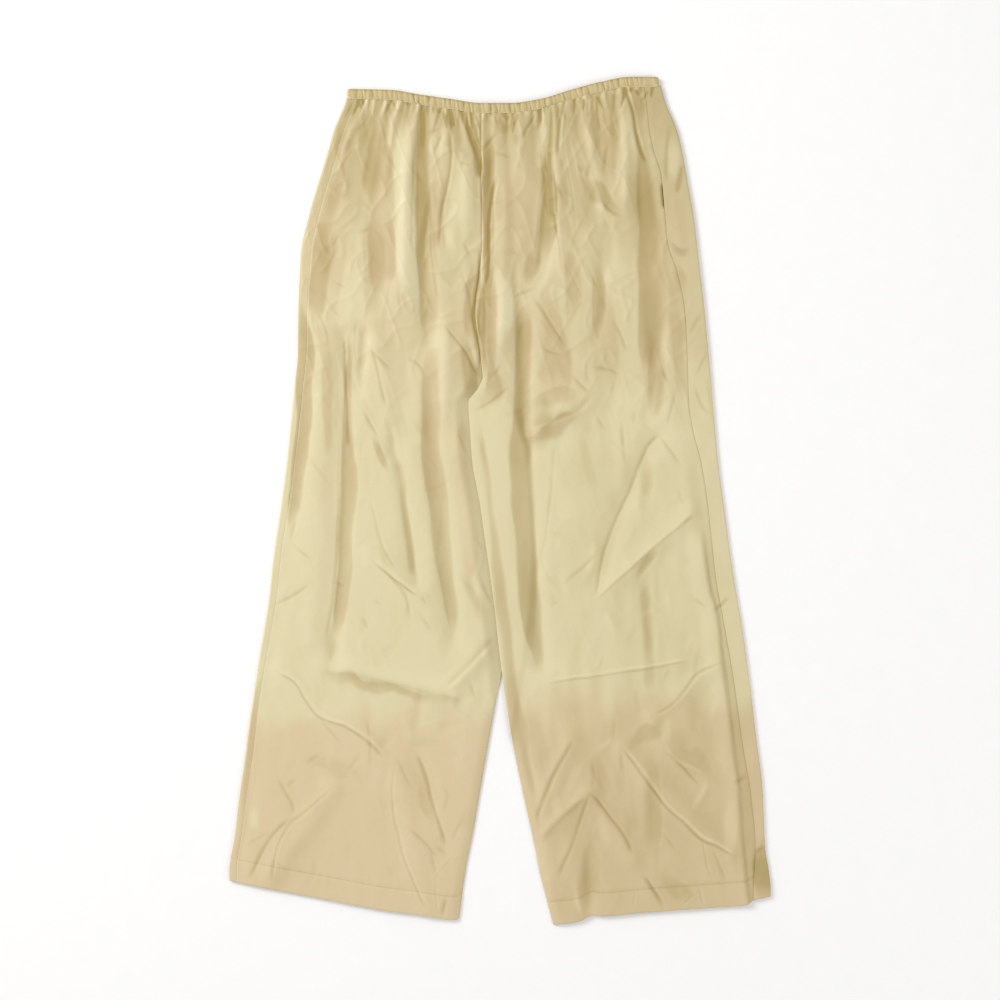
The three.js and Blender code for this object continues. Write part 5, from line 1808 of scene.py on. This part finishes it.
@dataclass(frozen=True)
class SatinFinish:
    """Thin satin with painted shade in its troughs and painted highlights along its ridges.

    Attributes:
        name: Name of the material.
        pale: Greenish yellow of the lit cloth.
        warm: Beige of the other patches.
        deep: Olive of the painted shade in the troughs.
        crest: Pale tone of the painted highlight along ridges.
        roughness: Roughness of the cloth's right side.
        weave: Height of the weave in metres.
    """

    name: str
    pale: tuple[int, int, int]
    warm: tuple[int, int, int]
    deep: tuple[int, int, int]
    crest: tuple[int, int, int]
    roughness: float
    weave: float

    def material(self) -> bpy.types.Material:
        """Make the material."""
        board = Board(self.name)
        place = board.node("ShaderNodeTexCoord", {}, {}, "Object")
        cloth = board.node("ShaderNodeUVMap", {"uv_map": "cloth"}, {})
        shade = board.node("ShaderNodeAttribute", {"attribute_name": "shade"}, {}, "Fac")
        warm = board.node("ShaderNodeAttribute", {"attribute_name": "warmth"}, {}, "Fac")
        stretched = board.node("ShaderNodeMapping", {}, {"Vector": place, "Scale": (1.0, 0.5, 1.0)})
        patches = board.noise(stretched, 11.0, 2.0, 0.45)
        blotches = board.noise(stretched, 34.0, 2.0, 0.5)
        warmth = (warm + 0.9 * (patches - 0.5) + 0.35 * (blotches - 0.5)).level(0.05, 0.95, "SMOOTHSTEP")
        base = board.mixed(tone(*self.pale), tone(*self.warm), warmth)
        # Painted shade towards the deep tone where the shade attribute is high, painted highlight towards the
        # crest tone where it falls below 0
        dark = shade + 0.16 * (blotches - 0.5)
        base = board.mixed(base, tone(*self.deep), dark.level(0.02, 1.05))
        base = board.mixed(base, tone(*self.crest), (-1.0 * dark).level(0.0, 0.6) * 0.6)
        board.set(board.shader.inputs["Base Color"], base)
        rough = self.roughness + 0.1 * (blotches - 0.5)
        board.set(board.shader.inputs["Roughness"], rough)
        for socket, value in (("Sheen Weight", 0.12), ("Sheen Roughness", 0.5), ("Specular IOR Level", 0.45)):
            board.set(board.shader.inputs[socket], value)
        warp = board.node(
            "ShaderNodeTexWave",
            {"wave_type": "BANDS", "bands_direction": "DIAGONAL"},
            {"Vector": cloth, "Scale": 620.0, "Distortion": 1.5, "Detail": 1.0},
            1,
        )
        slub = board.noise(cloth, 900.0, 2.0, 0.6)
        surface = 0.6 * warp + 0.4 * slub
        bump = board.node("ShaderNodeBump", {}, {"Height": surface, "Strength": 0.25, "Distance": self.weave})
        board.set(board.shader.inputs["Normal"], bump)
        return board.material


@dataclass(frozen=True)
class ThreadFinish:
    """Twisted sewing thread.

    Attributes:
        name: Name of the material.
        colour: Tone of the thread.
        shade: Tone between its plies.
    """

    name: str
    colour: tuple[int, int, int]
    shade: tuple[int, int, int]

    def material(self) -> bpy.types.Material:
        """Make the material."""
        board = Board(self.name)
        place = board.node("ShaderNodeTexCoord", {}, {}, "Object")
        twist = board.node("ShaderNodeTexWave", {}, {"Vector": place, "Scale": 900.0, "Distortion": 0.5}, 1)
        plies = board.mixed(tone(*self.shade), tone(*self.colour), twist)
        board.set(board.shader.inputs["Base Color"], plies)
        board.set(board.shader.inputs["Roughness"], 0.6)
        bump = board.node("ShaderNodeBump", {}, {"Height": twist, "Strength": 0.3, "Distance": 0.0001})
        board.set(board.shader.inputs["Normal"], bump)
        return board.material


# Name, the pale and warm tones, the deep tone of the painted shade and the crest tone of the painted
# highlight, roughness and height of the weave
SATIN = SatinFinish(
    "champagne_satin", (222, 211, 169), (218, 198, 158), (167, 145, 83), (234, 225, 189), 0.42, 0.00006
)
CASING_SATIN = SatinFinish(
    "gathered_satin", (210, 192, 142), (212, 190, 150), (156, 134, 76), (232, 219, 170), 0.45, 0.00006
)
POCKETING = SatinFinish(
    "pocket_lining", (206, 192, 150), (198, 182, 142), (170, 152, 110), (212, 200, 162), 0.7, 0.0001
)
THREAD = ThreadFinish("sewing_thread", (206, 190, 144), (170, 152, 106))


@dataclass
class Studio:
    """Pale floor, soft light and the camera straight above.

    Attributes:
        distance: Height of the camera in metres.
        lens: Focal length in millimetres.
    """

    distance: float = 2.8806
    lens: float = 85.0

    def floor(self) -> None:
        """Lay the pale floor under the garment."""
        bpy.ops.object.select_all(action="DESELECT")
        bpy.ops.mesh.primitive_plane_add(size=9, location=(0, 0, 0))
        floor = bpy.context.object
        floor.name = "studio_floor"
        board = Board("pale_floor")
        place = board.node("ShaderNodeTexCoord", {}, {}, "Object")
        grain = board.mixed(tone(252, 252, 252), tone(255, 255, 255), board.noise(place, 40.0, 2.0, 0.5))
        board.set(board.shader.inputs["Base Color"], grain)
        board.set(board.shader.inputs["Roughness"], 0.9)
        floor.data.materials.append(board.material)

    def light(self, name: str, place: tuple, size: float, power: float) -> None:
        """Hang one soft square light that points at the garment.

        Args:
            name: Name of the light.
            place: Where it hangs in metres.
            size: Side of the square in metres.
            power: Its power in watts.
        """
        data = bpy.data.lights.new(name, "AREA")
        data.shape, data.size, data.energy = "SQUARE", size, power
        lamp = bpy.data.objects.new(name, data)
        lamp.location = place
        lamp.rotation_euler = (-Vector(place)).to_track_quat("-Z", "Y").to_euler()
        bpy.context.scene.collection.objects.link(lamp)

    def build(self) -> None:
        """Set up floor, lights, world and camera."""
        self.floor()
        self.light("key", (-2.3, 1.5, 1.9), size=1.3, power=62)
        self.light("fill", (2.4, -1.2, 2.4), size=2.4, power=26)
        world = bpy.data.worlds.new("pale_room")
        world.use_nodes = True
        backdrop = world.node_tree.nodes["Background"]
        backdrop.inputs["Color"].default_value = (1.0, 0.99, 0.975, 1.0)
        backdrop.inputs["Strength"].default_value = 0.6
        bpy.context.scene.world = world
        lens = bpy.data.cameras.new("camera")
        lens.lens, lens.sensor_width, lens.clip_end = self.lens, 36, 20
        camera = bpy.data.objects.new("camera", lens)
        camera.location = (0, 0, self.distance)
        bpy.context.scene.collection.objects.link(camera)
        bpy.context.scene.camera = camera
        bpy.context.scene.view_settings.view_transform = "Standard"
        bpy.context.scene.view_settings.look = "None"


@dataclass
class Pants:
    """All sewn pieces of the garment, with its upper side and the hollows under it."""

    top: TopSurface
    under: Relief

    def dress(self, piece: bpy.types.Object, material: bpy.types.Material, slot: Slot, *nodes: str) -> None:
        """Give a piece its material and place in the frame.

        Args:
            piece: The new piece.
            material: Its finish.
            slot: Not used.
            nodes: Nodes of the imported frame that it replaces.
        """
        piece.data.materials.append(material)
        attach(piece, "root")
        if nodes:
            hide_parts(*nodes)
        LOG.info("%s: %d faces", piece.name, len(piece.data.polygons))

    def build(self) -> None:
        """Build every piece in order."""
        satin = SATIN.material()
        thread = THREAD.material()
        backs: list[bpy.types.Object] = []
        for leg, seed in ((RIGHT_LEG, 5), (LEFT_LEG, 6)):
            drapes = Gathers(seed + 30, count=15, height=0.6, reach=400.0, start=4.5, spread=0.014)
            front = FrontPanel(leg, self.top, Gathers(seed, count=38, height=0.5, reach=70.0), drapes)
            back = BackPanel(leg, self.top, self.under, Gathers(seed + 10, count=26, height=0.6))
            front_piece, back_piece = front.build(), back.build()
            self.dress(front_piece, satin, Slot.SATIN, f"front_{leg.name}")
            self.dress(back_piece, satin, Slot.SATIN, f"back_{leg.name}")
            hems = []
            for part, piece in ((front, front_piece), (back, back_piece)):
                path, out = part.stitch_path()
                name = f"{piece.name}_hem_stitches"
                hems.append(stitch_row(name, path, out, length=2.5, gap=0.8, girth=0.2))
                self.dress(hems[-1], thread, Slot.SATIN)
            backs.append(back_piece)
        casing = Casing()
        band = casing.build()
        self.dress(band, CASING_SATIN.material(), Slot.CASING, "waist_casing")
        path, out = casing.stitch_path()
        stitches = stitch_row("casing_stitches", path, out, length=2.2, gap=0.8, girth=0.17)
        self.dress(stitches, thread, Slot.CASING)
        lining = POCKETING.material()
        for name, outline, below in (("left", LEFT_POCKET, backs[1]), ("right", RIGHT_POCKET, backs[0])):
            bag = PocketBag(name, outline).build()
            self.dress(bag, lining, Slot.POCKET, f"pocket_bag_{name}")


def main() -> None:
    """Build the garment, logging each piece's face count, and its studio."""
    logging.basicConfig(level=logging.INFO, format="%(message)s")
    top = TopSurface(Relief(FRONT_CREASES, seed=11, wrinkles=80), Faces(FACETS, seed=7, small=90))
    Pants(top, under=Relief(BACK_CREASES, seed=23, wrinkles=60)).build()
    Studio().build()


if __name__ == "__main__":
    main()
